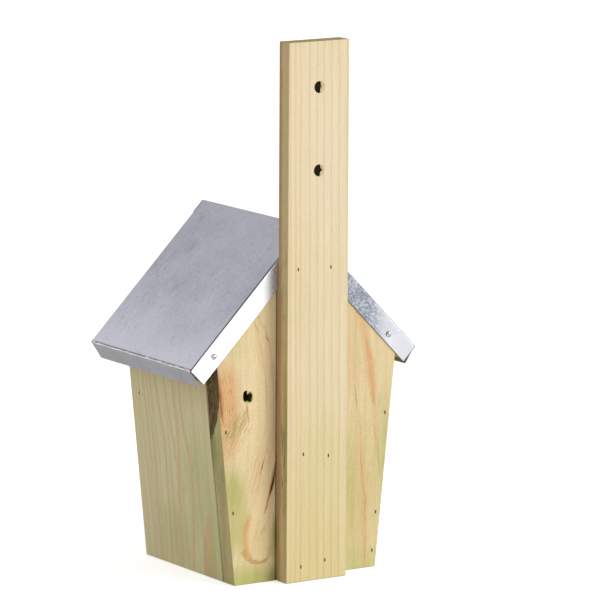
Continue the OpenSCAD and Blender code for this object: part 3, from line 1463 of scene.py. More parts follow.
BACK_PINE = PineFinish(
    grain=Grain(UP, (-1.0, 0.0, 0.0), (0.0, FACE_OUT_MM, 0.0)),
    growth=StraightGrowth(
        lines=(-66.0, -58.0, -47.0, -38.0, -30.0, 35.0, 44.0, 52.0, 62.0, 70.0),
        reach_mm=90.0,
        soft_mm=3.4,
        sharp_mm=1.6,
        sway_mm=5.0,
    ),
    pale="E4D1A2",
    late="DFBD8C",
    edge="BCB47A",
    edge_late="B79C74",
    late_share=0.4,
    drift=((0.0, -26.0, 0.0), (30.0, -21.0, 0.0), (70.0, -11.0, 0.0), (110.0, -1.0, 0.0),
           (251.0, 0.0, 0.0)),
    marks=(
        # right side of the box: honey wood above, green wood below
        Wash("EFD9AC", (-40.0, 134.0), (20.0, 76.0), 0.8),
        Wash("DDB07A", (-64.0, 130.0), (16.0, 40.0), 0.95),
        Wash("D8CC96", (-57.0, 168.0), (12.0, 16.0), 0.7),
        Wash("DDBB88", (-62.0, 102.0), (14.0, 26.0), 0.7, -0.4),
        Wash("BCB670", (-58.0, 66.0), (15.0, 26.0), 0.95, 0.1),
        Wash("C6BD7C", (-52.0, 38.0), (22.0, 26.0), 0.9),
        Wash("E2CA98", (-36.0, 74.0), (13.0, 34.0), 0.8, -0.25),
        Wash("BCBC70", (-44.0, 0.0), (36.0, 22.0), 0.95),
        Wash("9CA55A", (-23.5, 30.0), (5.0, 28.0), 0.9),
        Wash("9AA258", (-23.0, 2.0), (10.0, 14.0), 0.8),
        Flecks("AE6A3C", (-65.0, 130.0), (12.0, 36.0), 0.6, (0.9, 8.0), 0.4, 0.12),
        Flecks("C08048", (-57.0, 104.0), (14.0, 24.0), 0.65, (1.0, 9.0), 0.42, -0.65),
        Flecks("A09A56", (-56.0, 113.0), (10.0, 14.0), 0.75, (1.6, 10.0), 0.55, -0.6),
        Flecks("D8A478", (-32.0, 158.0), (9.0, 36.0), 0.55, (1.2, 26.0), 0.42, 0.34),
        Flecks("D3A072", (-37.0, 80.0), (15.0, 34.0), 0.7, (1.1, 18.0), 0.42, -0.3),
        Flecks("80582E", (-45.0, 110.0), (36.0, 84.0), 0.55, (0.6, 1.8), 0.22, 0.1),
        Streak("D9A888", ((88.0, -24.5, 0.0), (115.0, -25.4, 2.4), (136.0, -25.0, 2.6),
                          (160.0, -27.5, 2.4), (180.0, -33.0, 2.2), (196.0, -42.0, 0.0)),
               0.45, 1.0, 1.8),
        Streak("D9AC80", ((96.0, -30.5, 0.0), (125.0, -31.0, 1.4), (150.0, -33.0, 1.4),
                          (172.0, -37.5, 1.2), (190.0, -44.0, 0.0)), 0.35, 1.0, 1.4),
        Streak("A67850", ((169.0, -29.0, 0.0), (172.5, -30.6, 0.9), (176.0, -32.6, 0.0)),
               0.8, 0.9, 0.4, 0.0, 0.5),
        Streak("D58E68", ((176.0, -38.0, 0.0), (181.0, -39.6, 1.0), (188.0, -42.8, 0.0)),
               0.7, 0.9, 0.6),
        Streak("B87650", ((116.0, -67.0, 0.0), (124.0, -68.0, 2.8), (134.0, -69.2, 3.4),
                          (146.0, -71.2, 3.2), (158.0, -73.5, 3.4)), 0.9, 0.95, 1.6),
        Streak("7A4626", ((119.0, -67.6, 0.0), (124.5, -67.4, 1.4), (130.0, -68.8, 0.9),
                          (137.0, -69.6, 1.5), (148.0, -71.6, 0.8), (154.0, -72.6, 0.0)),
               0.8, 0.9, 1.0, 1.3),
        Streak("C07A4C", ((112.0, -45.8, 0.0), (117.0, -46.2, 0.8), (127.0, -47.0, 0.8),
                          (130.0, -47.2, 0.0)), 0.7, 0.9, 0.6),
        Streak("A5663E", ((75.0, -36.6, 0.0), (80.0, -35.2, 0.8), (85.0, -33.8, 0.9),
                          (90.0, -32.3, 0.0)), 0.9, 0.9, 0.5, 0.0, 1.0),
        Streak("C27C56", ((44.0, -34.6, 0.0), (50.0, -32.2, 0.9), (60.0, -28.9, 1.8),
                          (70.0, -26.0, 2.7), (78.0, -24.4, 2.6), (92.0, -22.4, 0.0)),
               0.9, 0.9, 0.7, 0.0, 1.0),
        Streak("4A2A18", ((60.0, -28.6, 0.0), (64.0, -27.5, 1.1), (69.0, -26.0, 1.5),
                          (74.0, -24.8, 1.0), (82.0, -23.4, 0.0)), 1.0, 0.85, 0.6, 0.0, 1.0),
        # painted shade: a dark line on the panel along the batten's +X edge, where the batten's
        # shadow falls
        Streak("54481F", ((-6.0, -23.2, 1.0), (90.0, -23.2, 1.1), (235.0, -23.2, 0.9)),
               0.85, 0.9, 0.3, 0.0, 0.0),
        # the pale lobe at the foot, with an orange flank and a thin dark sole
        Streak("A99A58", ((13.2, -37.0, 0.0), (14.0, -37.0, 6.5), (16.4, -38.0, 9.8),
                          (20.0, -39.0, 12.0), (24.0, -40.0, 12.0), (30.0, -41.0, 0.0)),
               0.75, 0.25, 0.6, 0.0, 2.0),
        Streak("DBA46A", ((14.0, -38.0, 0.0), (15.2, -38.0, 6.6), (19.0, -39.6, 10.6),
                          (25.0, -40.6, 11.4), (33.0, -42.0, 9.8), (42.0, -43.4, 7.4),
                          (50.0, -44.0, 0.0)), 0.75, 0.4, 0.9, 0.0, 2.5),
        Streak("E6D0A0", ((15.4, -36.4, 0.0), (17.0, -36.2, 6.8), (22.0, -36.6, 10.2),
                          (30.0, -38.0, 10.2), (40.0, -38.8, 8.4), (56.0, -37.0, 5.0),
                          (72.0, -35.0, 0.0)), 0.9, 0.45, 0.8, 0.0, 2.0),
        Streak("CDBE80", ((16.0, -27.5, 0.0), (20.0, -27.0, 3.4), (30.0, -27.0, 3.2),
                          (42.0, -28.0, 0.0)), 0.7, 0.9, 0.8),
        Flecks("CF9A66", (-36.0, 36.0), (10.0, 20.0), 0.6, (0.9, 14.0), 0.38, -0.3),
        Flecks("8C8A48", (-44.0, 20.0), (34.0, 44.0), 0.4, (0.7, 3.0), 0.15),
        # left side of the box: a soft orange band, a thin red streak, and green wood beside
        Wash("DFC798", (40.0, 160.0), (26.0, 52.0), 0.7),
        Wash("D2C286", (46.0, 56.0), (26.0, 74.0), 0.85),
        Wash("C8C080", (38.0, 60.0), (8.0, 60.0), 0.5),
        Wash("C6BE7E", (68.0, 80.0), (11.0, 80.0), 0.7),
        Wash("C6C480", (46.0, 2.0), (28.0, 24.0), 0.7),
        Wash("EBCFA6", (67.0, 160.0), (7.0, 7.0), 0.9),
        Streak("DEAE78", ((70.0, 60.0, 0.0), (105.0, 59.6, 2.4), (120.0, 58.6, 3.4),
                          (135.0, 57.0, 5.0), (150.0, 54.6, 6.2), (170.0, 50.0, 7.0),
                          (196.0, 44.0, 7.0)), 0.55, 1.0, 1.8),
        Streak("D59C62", ((112.0, 59.8, 0.0), (126.0, 58.0, 3.0), (136.0, 56.6, 3.8),
                          (152.0, 55.0, 3.6), (170.0, 51.0, 0.0)), 0.7, 1.0, 1.6, 0.6),
        Streak("9C9452", ((112.0, 45.0, 0.0), (119.0, 44.2, 0.6), (129.0, 43.2, 0.8),
                          (134.0, 43.0, 0.0)), 0.7, 0.9, 0.6),
        Streak("DDB084", ((-4.0, 52.0, 3.4), (50.0, 50.6, 3.4), (90.0, 48.0, 3.0),
                          (120.0, 46.6, 0.0)), 0.55, 1.0, 1.2),
        Streak("C4805A", ((-4.0, 51.6, 0.5), (27.0, 52.4, 0.9), (52.0, 51.4, 1.0),
                          (64.0, 49.7, 0.7), (78.0, 48.3, 0.7), (97.0, 47.2, 0.0)),
               0.62, 0.9, 0.6, 1.6, 1.5),
        Streak("A8A058", ((60.0, 65.2, 0.0), (75.0, 63.8, 0.8), (86.0, 62.0, 0.8),
                          (96.0, 61.0, 0.0)), 0.6, 0.9, 1.0),
        Flecks("C99A62", (50.0, 100.0), (30.0, 110.0), 0.4, (1.1, 18.0), 0.3),
        Flecks("A3A258", (58.0, 80.0), (22.0, 90.0), 0.4, (1.0, 14.0), 0.25),
    ),
    edge_marks=(
        Wash("8C8450", (-13.0, 96.0), (7.0, 22.0), 0.8),
        Wash("A8A066", (-5.0, 80.0), (12.0, 36.0), 0.6),
        Streak("B49A78", ((-6.0, -8.0, 2.6), (60.0, -8.4, 2.2), (90.0, -9.0, 0.0)), 0.6),
        Flecks("6A6430", (-8.0, 60.0), (9.0, 90.0), 0.5, (0.9, 12.0), 0.3),
        Streak("4E4624", ((-6.0, -14.0, 0.8), (60.0, -14.0, 0.5), (110.0, -14.0, 0.6),
                          (160.0, -14.0, 0.5)), 0.85, 0.8, 0.3, 0.0, 0.0),
    ),
)


def side_pine(side: int) -> PineFinish:
    """The finish of a side panel.

    Args:
        side: 1 for the right side, -1 for the left.

    Returns:
        The finish, whose grain leans as the panel does.
    """
    along = (side * math.sin(LEAN), 0.0, math.cos(LEAN))
    across = (0.0, float(side), 0.0)
    start = (BOX_X_MM + side * SIDE_FOOT_MM, 0.0, 0.0)
    if side < 0:
        return PineFinish(
            grain=Grain(along, across, start),
            growth=RoundGrowth((12.0, 70.0), 5.2, 0.03, 7.0),
            pale="DCD4A0",
            late="DDB588",
            edge="CFC28E",
            edge_late="C9A678",
            marks=(
                Wash("C3C488", (-20.0, 30.0), (45.0, 60.0), 0.6),
                Knot((18.0, 92.0), 4.2),
                Knot((-34.0, 40.0), 2.4),
            ),
        )
    flame = (
        Streak("D9B488", ((-6.0, 28.0, 9.6), (5.0, 29.2, 9.2), (20.0, 29.8, 8.0),
                          (34.0, 31.4, 4.6), (44.0, 32.8, 1.6), (50.0, 33.4, 0.0)),
               0.85, 0.22, 0.4, 0.0, 1.0),
        Streak("C8BE84", ((-6.0, 28.2, 8.0), (5.0, 29.2, 7.4), (20.0, 30.0, 5.6),
                          (28.0, 31.0, 2.6), (34.0, 31.6, 0.0)), 0.85, 0.5, 0.4, 0.0, 1.0),
    )
    bands = tuple(
        Streak("DCB88C", tuple((z, y, half) for z, y in places), share, 1.0, 0.7, 0.0, 1.5)
        for share, half, places in (
            (0.55, 1.6, ((-6.0, -54.0), (160.0, -56.0))),
            (0.75, 1.8, ((-6.0, -43.0), (72.0, -44.4), (160.0, -47.0))),
            (0.8, 2.0, ((-6.0, -36.0), (74.0, -33.2), (160.0, -36.5))),
            (0.6, 1.3, ((-6.0, -27.9), (75.5, -27.0), (160.0, -30.5))),
            (0.85, 2.2, ((-6.0, -20.9), (76.0, -17.9), (100.0, -19.0), (160.0, -25.5))),
            (0.7, 2.0, ((-6.0, -9.8), (60.0, -4.5), (79.0, -4.0), (160.0, -14.5))),
            (0.8, 2.4, ((-6.0, -6.0), (20.0, -5.5), (100.0, 1.0), (160.0, -2.8))),
            (0.9, 2.6, ((-6.0, 7.0), (9.0, 8.5), (39.0, 13.4), (68.0, 15.5), (83.0, 15.2),
                        (99.0, 11.3), (125.0, 8.8), (160.0, 9.6))),
        )
    )
    return PineFinish(
        grain=Grain(along, across, start),
        growth=StraightGrowth(
            lines=(-50.0, -40.0, -31.0, -12.0, 2.0, 24.0, 38.0),
            reach_mm=70.0,
            soft_mm=3.4,
            sharp_mm=2.4,
            sway_mm=2.5,
            turn=0.5,
        ),
        pale="DFD5A6",
        late="D6C293",
        edge="CFC28E",
        edge_late="C9A678",
        late_share=0.5,
        marks=(
            Wash("CBC690", (26.0, 66.0), (30.0, 62.0), 0.75),
            Wash("C2C488", (44.0, 20.0), (26.0, 50.0), 0.75),
            Wash("C8C488", (-14.0, 24.0), (44.0, 34.0), 0.6),
            Wash("DCC79C", (20.0, 140.0), (26.0, 26.0), 0.6),
            *bands,
            Streak("DDBE94", ((90.0, 39.0, 0.0), (125.0, 41.0, 3.0), (160.0, 42.0, 4.0)), 0.6),
            Streak("B9BC78", ((-6.0, -34.0, 1.0), (160.0, -41.0, 2.0)), 0.45, 1.0),
            Flecks("A8AE6C", (0.0, 70.0), (70.0, 110.0), 0.5, (1.5, 22.0), 0.3),
            Flecks("8E8A50", (0.0, 70.0), (70.0, 110.0), 0.4, (0.6, 2.5), 0.12),
            Wash("9A8A58", (-20.3, 21.0), (1.6, 2.0), 0.6),
            Wash("9E8C5C", (-42.5, 121.0), (1.0, 1.6), 0.45),
            *flame,
            Streak("5C5530", ((-6.0, 46.5, 0.9), (60.0, 46.5, 0.6), (160.0, 46.5, 0.5)),
                   0.6, 0.8, 0.2, 0.0, 0.0),
        ),
    )


FRONT_PINE = PineFinish(
    grain=Grain(UP, (1.0, 0.0, 0.0), (BOX_X_MM, -54.5, 0.0)),
    growth=RoundGrowth((-6.0, 46.0), 6.0, 0.05, 8.0),
    pale="E5D6A8",
    late="DDB37C",
    edge="CFC08C",
    edge_late="C9A272",
    marks=(
        Wash("D2CD92", (10.0, 20.0), (60.0, 55.0), 0.7),
        Wash("E2C595", (-30.0, 170.0), (40.0, 50.0), 0.5),
        Knot((33.0, 96.0), 3.8),
        Knot((-37.0, 52.0), 2.2),
        Streak("CC8F5E", ((100.0, -44.0, 0.0), (130.0, -46.0, 1.2), (165.0, -49.0, 0.0)), 0.6),
    ),
)

FLOOR_PINE = PineFinish(
    grain=Grain((1.0, 0.0, 0.0), (0.0, 1.0, 0.0), (BOX_X_MM, 0.0, 5.0)),
    growth=RoundGrowth((8.0, -40.0), 5.0, 0.03, 6.0),
    pale="D9CE9C",
    late="CFA877",
    edge="CBBE88",
    edge_late="C39D6C",
    marks=(Wash("BFC184", (20.0, 0.0), (50.0, 50.0), 0.6),),
)


def roof_pine(side: int) -> PineFinish:
    """The finish of a roof board.

    Args:
        side: 1 for the right board, -1 for the left.

    Returns:
        The finish, whose grain runs from front to back.
    """
    pitch = math.radians(PITCH_DEG)
    return PineFinish(
        grain=Grain(
            (0.0, 1.0, 0.0), (-math.cos(pitch), 0.0, side * math.sin(pitch)), (0.0, 0.0, 233.0)
        ),
        growth=RoundGrowth((-60.0, -30.0), 5.5, 0.03, 6.0),
        pale="D8CB9A",
        late="CDA574",
        edge="C4B684",
        edge_late="B88F60",
        marks=(Knot((-80.0 * side, -20.0), 5.0),),
    )


# ---------------------------------------------------------------- boards


@dataclass
class Batten:
    """The tall batten that hangs the box, with two torn bores and their splinters."""

    arris_mm: float = 0.7
    hole_d_mm: float = 8.0
    hole_z_mm: Pair = (348.0, 290.0)
    clear_mm: float = 0.12
    torn_mm: float = 1.2
    fibres: int = 9
    fibre_wide_mm: float = 0.95
    fibre_curl_mm: float = 0.1
    board: Piece | None = None
    trims: list[Piece] = field(default_factory=list)

    def mouth(self, height_mm: float) -> Vector:
        """The middle of a hanging hole's mouth, in millimetres."""
        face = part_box("mounting_batten")[1].y / MM
        return Vector((BOX_X_MM, face, height_mm))

    def build(self) -> None:
        """Makes the board, its bores and the fibres round them."""
        depth = self.mouth(0.0).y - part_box("mounting_batten")[0].y / MM
        shape = eased_copy("mounting_batten", self.arris_mm)
        self.board = made_piece("batten_board", shape, BATTEN_PINE)
        # partly painted shade: the bore's wall is near-black brown, for torn, stained wood and for
        # the shade deep in the hole
        bore = TornFinish("2C220C", "6A562A")

        def flare(angle: float, deep: float) -> float:
            """Torn up and down the grain at the mouth, and a little ragged inside.

            Args:
                angle: the angle round the bore.
                deep: the depth under its mouth.

            Returns:
                The extra radius.
            """
            up = math.sin(angle)
            ragged = rough(Vector((math.cos(angle), up, deep * 0.3)), 1.7, 4.0)
            tear = max(0.0, 1 - max(deep, 0.0) / self.torn_mm) * abs(up) ** 5
            return self.clear_mm + 0.08 * ragged + tear * (0.1 + 0.4 * ragged)

        cutters = [
            bore_cutter(f"hole_{i}", self.mouth(z), self.hole_d_mm / 2, depth, flare, bore)
            for i, z in enumerate(self.hole_z_mm)
        ]
        carve(self.board, *cutters)
        for name, z in zip(("upper", "lower"), self.hole_z_mm):
            self.trims.append(self.splinters(f"hanging_hole_fibres_{name}", z))

    def splinters(self, name: str, height_mm: float) -> Piece:
        """Torn fibres that lean into one hanging hole.

        Args:
            name: the piece's name.
            height_mm: the height of the hole.

        Returns:
            The piece.
        """
        sunk_mm, first_mm, step_mm, seat_mm = 0.25, -1.3, 0.3, 0.6
        shape = bmesh.new()
        mouth = self.mouth(height_mm) - Vector((0.0, sunk_mm, 0.0))
        radius = self.hole_d_mm / 2
        for i in range(self.fibres):
            x = first_mm - step_mm * i
            chord = math.sqrt(radius * radius - x * x)
            end = 1 if i % 3 == 1 else -1
            reach = 0.55 + 0.4 * rough(Vector((i, 3.0, height_mm)), 2.3) + 0.06 * i
            deep = -0.1 - 0.3 * abs(rough(Vector((height_mm, i, 1.0)), 1.9))
            root = Vector((x, deep, end * (chord + seat_mm)))
            tip = Vector((x - 0.2, deep + 0.1, end * chord * (1 - 1.5 * reach)))
            splinter(shape, mouth + root, mouth + tip, self.fibre_wide_mm, self.fibre_curl_mm)
        return made_piece(name, closed(shape), TornFinish("CDBE88", "E8DAB0"))

    def dress(self) -> None:
        """Fixes the pieces to the frame."""
        settle(self.board, "pine_batten", "mounting_batten")
        for trim in self.trims:
            settle(trim, "pine_batten")


@dataclass
class BackPanel:
    """The end panel behind the batten, with a torn vent and bark on one edge."""

    arris_mm: float = 0.5
    vent_mm: Pair = (46.5, 133.0)
    vent_d_mm: float = 8.0
    thick_mm: float = 16.0
    clear_mm: float = 0.12
    torn_mm: float = 1.6
    fibre_sunk_mm: float = 0.3
    fibre_thick_mm: float = 0.5
    bark_middle_mm: Pair = (52.0, 141.0)
    bark_half_mm: Pair = (11.0, 38.0)
    bark_deep_mm: float = 1.6
    bark_shear: float = 0.2
    board: Piece | None = None
    trims: list[Piece] = field(default_factory=list)

    def bark_cutter(self) -> Piece:
        """Makes a lumpy lens on the right edge of the panel, where bark is left.

        Returns:
            The cutter.
        """
        shape = bmesh.new()
        bmesh.ops.create_icosphere(shape, subdivisions=5, radius=1.0)
        y, z = self.bark_middle_mm
        half_y, half_z = self.bark_half_mm
        x = BOX_X_MM + SIDE_FOOT_MM + z * math.tan(LEAN)
        for vert in shape.verts:
            unit = vert.co.copy()
            lump = 1 + 0.07 * rough(Vector((unit.y, unit.z * 3, unit.x)), 2.0, 2.0)
            point = Vector((
                unit.x * self.bark_deep_mm + 0.35 * rough(unit * 4, 3.0, 9.0),
                unit.y * half_y * lump + unit.z * half_z * self.bark_shear,
                unit.z * half_z * lump,
            ))
            vert.co = (point + Vector((x + point.z * math.tan(LEAN), y, z))) * MM
        rim = ((100.0, 44.5, 0.0), (104.0, 46.0, 1.4), (111.0, 52.0, 1.4), (121.0, 57.4, 1.6),
               (135.0, 56.6, 1.9), (144.0, 52.6, 1.7), (154.0, 50.0, 0.0))
        return made_piece("bark", closed(shape), BarkFinish(rim))

    def build(self) -> None:
        """Makes the board, its vent, its bark and the fibres in the vent."""
        shape = eased_copy("back_panel", self.arris_mm)
        self.board = made_piece("back_board", shape, BACK_PINE)
        x, z = self.vent_mm
        mouth = Vector((x, FACE_OUT_MM, z))

        def flare(angle: float, deep: float) -> float:
            """Narrow and ragged, with a tear up to one side of the mouth.

            Args:
                angle: the angle round the bore.
                deep: the depth under its mouth.

            Returns:
                The extra radius.
            """
            up, left = math.sin(angle), math.cos(angle)
            ragged = rough(Vector((left, up, deep * 0.25)), 1.9, 6.0)
            tear = max(0.0, 1 - max(deep, 0.0) / self.torn_mm)
            tear *= max(0.0, 0.8 * up + 0.5 * left) ** 6
            return self.clear_mm + 0.22 * ragged + 1.8 * tear

        # partly painted shade: the vent's wall is near-black brown, for torn, stained wood and for
        # the shade deep in the hole
        bore = TornFinish("2A200C", "7A6634")
        cutter = bore_cutter("vent", mouth, self.vent_d_mm / 2, self.thick_mm, flare, bore)
        carve(self.board, cutter, self.bark_cutter())
        self.trims.append(self.vent_fibres(mouth - Vector((0.0, self.fibre_sunk_mm, 0.0))))

    def vent_fibres(self, mouth: Vector) -> Piece:
        """The tongue and the torn fibres in the vent's mouth.

        Args:
            mouth: the middle of the mouth, in millimetres.

        Returns:
            The piece.
        """
        shape = bmesh.new()
        fibres = (
            ((-0.2, 4.8), (0.2, 1.6), 1.9, 0.3),
            ((-1.3, 4.6), (-1.0, 2.2), 1.2, 0.2),
            ((-2.6, 4.2), (-2.7, 2.0), 1.2, 0.4),
            ((-3.6, 3.4), (-3.5, 0.9), 1.0, 0.3),
            ((-4.3, 2.4), (-4.0, 0.2), 0.8, 0.2),
            ((-4.4, -0.6), (-2.9, -2.4), 1.0, 0.3),
            ((-4.2, 0.8), (-3.2, -1.2), 0.9, 0.3),
            ((1.6, -4.6), (1.5, -2.6), 1.3, 0.2),
            ((0.5, -4.8), (0.4, -2.2), 1.5, 0.3),
            ((-0.7, -4.8), (-0.6, -3.0), 1.2, 0.2),
            ((-2.2, -4.4), (-2.3, -3.2), 0.9, 0.2),
            ((2.9, -4.0), (3.0, -2.8), 0.8, 0.1),
        )
        for root, tip, width, curl in fibres:
            start = mouth + Vector((root[0], 0.0, root[1]))
            end = mouth + Vector((tip[0], -0.4, tip[1]))
            splinter(shape, start, end, width, curl, self.fibre_thick_mm)
        return made_piece("vent_fibres", closed(shape), TornFinish("A8AE62", "EBDDA2"))

    def dress(self) -> None:
        """Fixes the pieces to the frame."""
        settle(self.board, "pine_back", "back_panel")
        for trim in self.trims:
            settle(trim, "pine_back")


@dataclass
class FrontPanel:
    """The inset front panel with the round entrance."""

    arris_mm: float = 0.5
    entrance_d_mm: float = 32.0
    entrance_mm: Pair = (BOX_X_MM, 150.0)
    ease_mm: float = 0.9
    clear_mm: float = 0.06
    board: Piece | None = None

    def build(self) -> None:
        """Makes the board and rounds the rim of its entrance."""
        self.board = made_piece("front_board", eased_copy("front_panel", self.arris_mm), FRONT_PINE)
        low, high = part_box("front_panel")
        thick = (high.y - low.y) / MM
        mouth = Vector((self.entrance_mm[0], high.y / MM, self.entrance_mm[1]))

        def flare(angle: float, deep: float) -> float:
            """Rounded at both rims, with faint drill marks between.

            Args:
                angle: the angle round the bore.
                deep: the depth under its mouth.

            Returns:
                The extra radius.
            """
            edge = min(abs(deep), abs(thick - deep))
            round_off = max(0.0, 1 - edge / self.ease_mm) ** 2 * self.ease_mm
            drill = 0.05 * rough(Vector((math.cos(angle), math.sin(angle), deep * 2)), 2.0)
            return self.clear_mm + round_off + drill

        bore = TornFinish("A5793F", "D9BC84", (0.0, 1.0, 0.0))
        radius = self.entrance_d_mm / 2
        carve(self.board, bore_cutter("entrance", mouth, radius, thick, flare, bore))

    def dress(self) -> None:
        """Fixes the board to the frame."""
        settle(self.board, "pine_front", "front_panel")


class PlainBoard(Enum):
    """Boards that need no carving: the CAD node, the piece's name and the slot of each."""

    RIGHT_SIDE = ("right_side_panel", "right_side_board", "pine_side")
    LEFT_SIDE = ("left_side_panel", "left_side_board", "pine_side")
    FLOOR = ("floor_panel", "floor_board", "pine_floor")
    RIGHT_ROOF = ("right_roof_board", "right_roof_deck", "pine_roof")
    LEFT_ROOF = ("left_roof_board", "left_roof_deck", "pine_roof")

    def finish(self) -> PineFinish:
        """Chooses the look of this board.

        Returns:
            The finish.
        """
        side = 1 if self.name.startswith("RIGHT") else -1
        if self is PlainBoard.FLOOR:
            return FLOOR_PINE
        return side_pine(side) if self.name.endswith("SIDE") else roof_pine(side)


@dataclass
class Boards:
    """Side panels, floor and roof boards."""

    arris_mm: float = 0.5
    made: dict[PlainBoard, Piece] = field(default_factory=dict)

    def build(self) -> None:
        """Makes each board with eased edges."""
        for kind in PlainBoard:
            node, name, _ = kind.value
            self.made[kind] = made_piece(name, eased_copy(node, self.arris_mm), kind.finish())

    def dress(self) -> None:
        """Fixes each board to the frame."""
        for kind, board in self.made.items():
            node, _, slot = kind.value
            settle(board, slot, node)


# ---------------------------------------------------------------- roof


@dataclass
class RoofSheet:
    """One sheet, folded down over the ends and the eaves of the roof boards."""

    thick_mm: float = 0.7
    fold_mm: float = 1.3
    flange_mm: float = 14.7
    rise_mm: float = 95.0
    lap_mm: float = 8.0
    splay_deg: float = 12.0
    spring_mm: float = 0.4
    step_mm: float = 4.0
    weld_mm: float = 0.005
    pan_mm: float = 0.1
    dent_mm: float = 0.25
    dent_reach_mm: float = 4.5
    batten_half_mm: float = 28.0
    eave_wave_mm: float = 0.25
    sheet: Piece | None = None
    lap: Piece | None = None

    def __post_init__(self) -> None:
        """Takes the sheet's outer sizes from its node."""
        low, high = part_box("roof_sheet")
        self.half_mm = high.x / MM
        self.ridge_mm = high.z / MM
        self.front_mm = low.y / MM + self.thick_mm
        self.back_mm = high.y / MM - self.thick_mm
        self.pitch = math.atan2(self.rise_mm, self.half_mm)
        self.slope_mm = math.hypot(self.rise_mm, self.half_mm)

    def section(self, under: float) -> list[Pair]:
        """The roof's outline from the right eave over the ridge to the left eave.

        Args:
            under: how far the outline lies under the sheet's top.

        Returns:
            X and Z of each point; there are as many at every depth.
        """
        cos, sin = math.cos(self.pitch), math.sin(self.pitch)
        radius = max(self.fold_mm - under, 0.0)
        start = self.fold_mm * 0.8 if under == 0.0 else 0.0
        end = self.slope_mm - under * math.tan(self.pitch) - radius * math.tan(self.pitch)
        count = round(self.slope_mm / self.step_mm)
        right = []
        for i in range(count + 1):
            up = start + (end - start) * i / count
            right.append((
                self.half_mm - up * cos - under * sin,
                self.ridge_mm - self.rise_mm + up * sin - under * cos,
            ))
        crown = self.ridge_mm - (under + radius) / cos
        for i in (1, 2):
            lean = self.pitch * (1 - i / 3)
            right.append((radius * math.sin(lean), crown + radius * math.cos(lean)))
        top = (0.0, crown + radius)
        return right + [top] + [(-x, z) for x, z in reversed(right)]

    def eave(self, side: int) -> list[Pair]:
        """The splayed eave fold from the slope's edge to its free edge.

        Args:
            side: 1 for the right eave, -1 for the left.

        Returns:
            X and Z of each point.
        """
        turn = math.radians(90 - self.splay_deg)
        start = self.fold_mm * math.tan(turn / 2)
        cos, sin = math.cos(self.pitch), math.sin(self.pitch)
        x = self.half_mm - start * cos
        z = self.ridge_mm - self.rise_mm + start * sin
        centre = (x - self.fold_mm * sin, z - self.fold_mm * cos)
        bends, steps = 5, 6
        points = []
        for i in range(bends + 1):
            face = math.pi / 2 - self.pitch - turn * i / bends
            points.append((centre[0] + self.fold_mm * math.cos(face),
                           centre[1] + self.fold_mm * math.sin(face)))
        down = -self.pitch - turn
        end_x, end_z = points[-1]
        for i in range(1, steps + 1):
            run = (self.flange_mm - start) * i / steps
            points.append((end_x + run * math.cos(down), end_z + run * math.sin(down)))
        return [(side * px, pz) for px, pz in points]

    def rows(self) -> list[Pair]:
        """Sets out the rows of points from the front flange to the back one.

        Returns:
            Y and depth under the top of each row.
        """
        flat = 8
        bend = 4
        front = []
        for i in range(flat):
            under = self.flange_mm + (self.fold_mm - self.flange_mm) * i / flat
            front.append((self.front_mm, under))
        for i in range(bend + 1):
            turn = math.pi / 2 * i / bend
            front.append((
                self.front_mm + self.fold_mm * (1 - math.cos(turn)),
                self.fold_mm * (1 - math.sin(turn)) if i < bend else 0.0,
            ))
        middle = (self.front_mm + self.back_mm) / 2
        back = [(2 * middle - y, under) for y, under in reversed(front)]
        inner = front[-1][0]
        count = round((back[0][0] - inner) / self.step_mm)
        flats = [(inner + (back[0][0] - inner) * i / count, 0.0) for i in range(1, count)]
        return front + flats + back

    def spring(self, point: Vector, under: float, end: int) -> Vector:
        """How far the sheet stands off its boards at a point.

        Args:
            point: the point on the plain sheet, in millimetres.
            under: its depth under the sheet's top.
            end: 1 on the back fold, -1 on the front fold and 0 between.

        Returns:
            The move, in millimetres.
        """
        if end:
            off_batten = abs(point.x - BOX_X_MM) - self.batten_half_mm
            clear = min(max(off_batten / 15.0, 0.0), 1.0) if end > 0 else 1.0
            lap = min(max((abs(point.x - self.lap_mm / 2) - 6.0) / 10.0, 0.0), 1.0)
            wave = 0.55 + 0.45 * rough(point, 0.045, 3.0)
            lift = self.spring_mm * wave * (under / self.flange_mm) ** 1.5
            dent = sum(
                self.dent_mm * math.exp(-(((point - nail).length / self.dent_reach_mm) ** 2))
                for nail in self.nails(end)
            )
            return Vector((0.0, end * (lift * min(clear, lap) - dent), 0.0))
        across = min(abs(point.x), abs(abs(point.x) - self.half_mm)) / 20.0
        along = min(abs(point.y - self.front_mm), abs(point.y - self.back_mm)) / 15.0
        inner = min(across, along, 1.0)
        pan = self.pan_mm * inner * (1 + rough(point, 0.03, 5.0))
        side = 1 if point.x > 0 else -1
        return Vector((side * math.sin(self.pitch), 0.0, math.cos(self.pitch))) * pan

    def nails(self, end: int) -> list[Vector]:
        """Finds where the nails go through one gable fold.

        Args:
            end: 1 for the back fold, -1 for the front one.

        Returns:
            The places, in millimetres.
        """
        name = "back" if end > 0 else "front"
        found = []
        for side in ("right", "left"):
            low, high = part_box(f"roof_nail_{name}_{side}")
            y = self.back_mm if end > 0 else self.front_mm
            found.append(Vector(((low.x + high.x) / 2 / MM, y, (low.z + high.z) / 2 / MM)))
        return found

    def eave_strips(
        self, shape: Shape, side: int, edges: list[tuple[float, bmesh.types.BMVert]]
    ) -> list[list[bmesh.types.BMVert]]:
        """Sets out the points of one eave fold, a little wavy along its length.

        Args:
            shape: the shape to add them to.
            side: 1 for the right eave, -1 for the left.
            edges: Y and the point at the slope's edge of each row on the slope.

        Returns:
            A row of points for each of them.
        """
        fold = self.eave(side)[1:]
        strips = []
        for y, edge in edges:
            wave = self.eave_wave_mm * rough(Vector((side * 9.0, y, 0.0)), 0.05)
            strip = [edge]
            for i, (x, z) in enumerate(fold):
                bow = side * wave * (i / len(fold)) ** 2
                strip.append(shape.verts.new(Vector((x + bow, y, z)) * MM))
            strips.append(strip)
        return strips

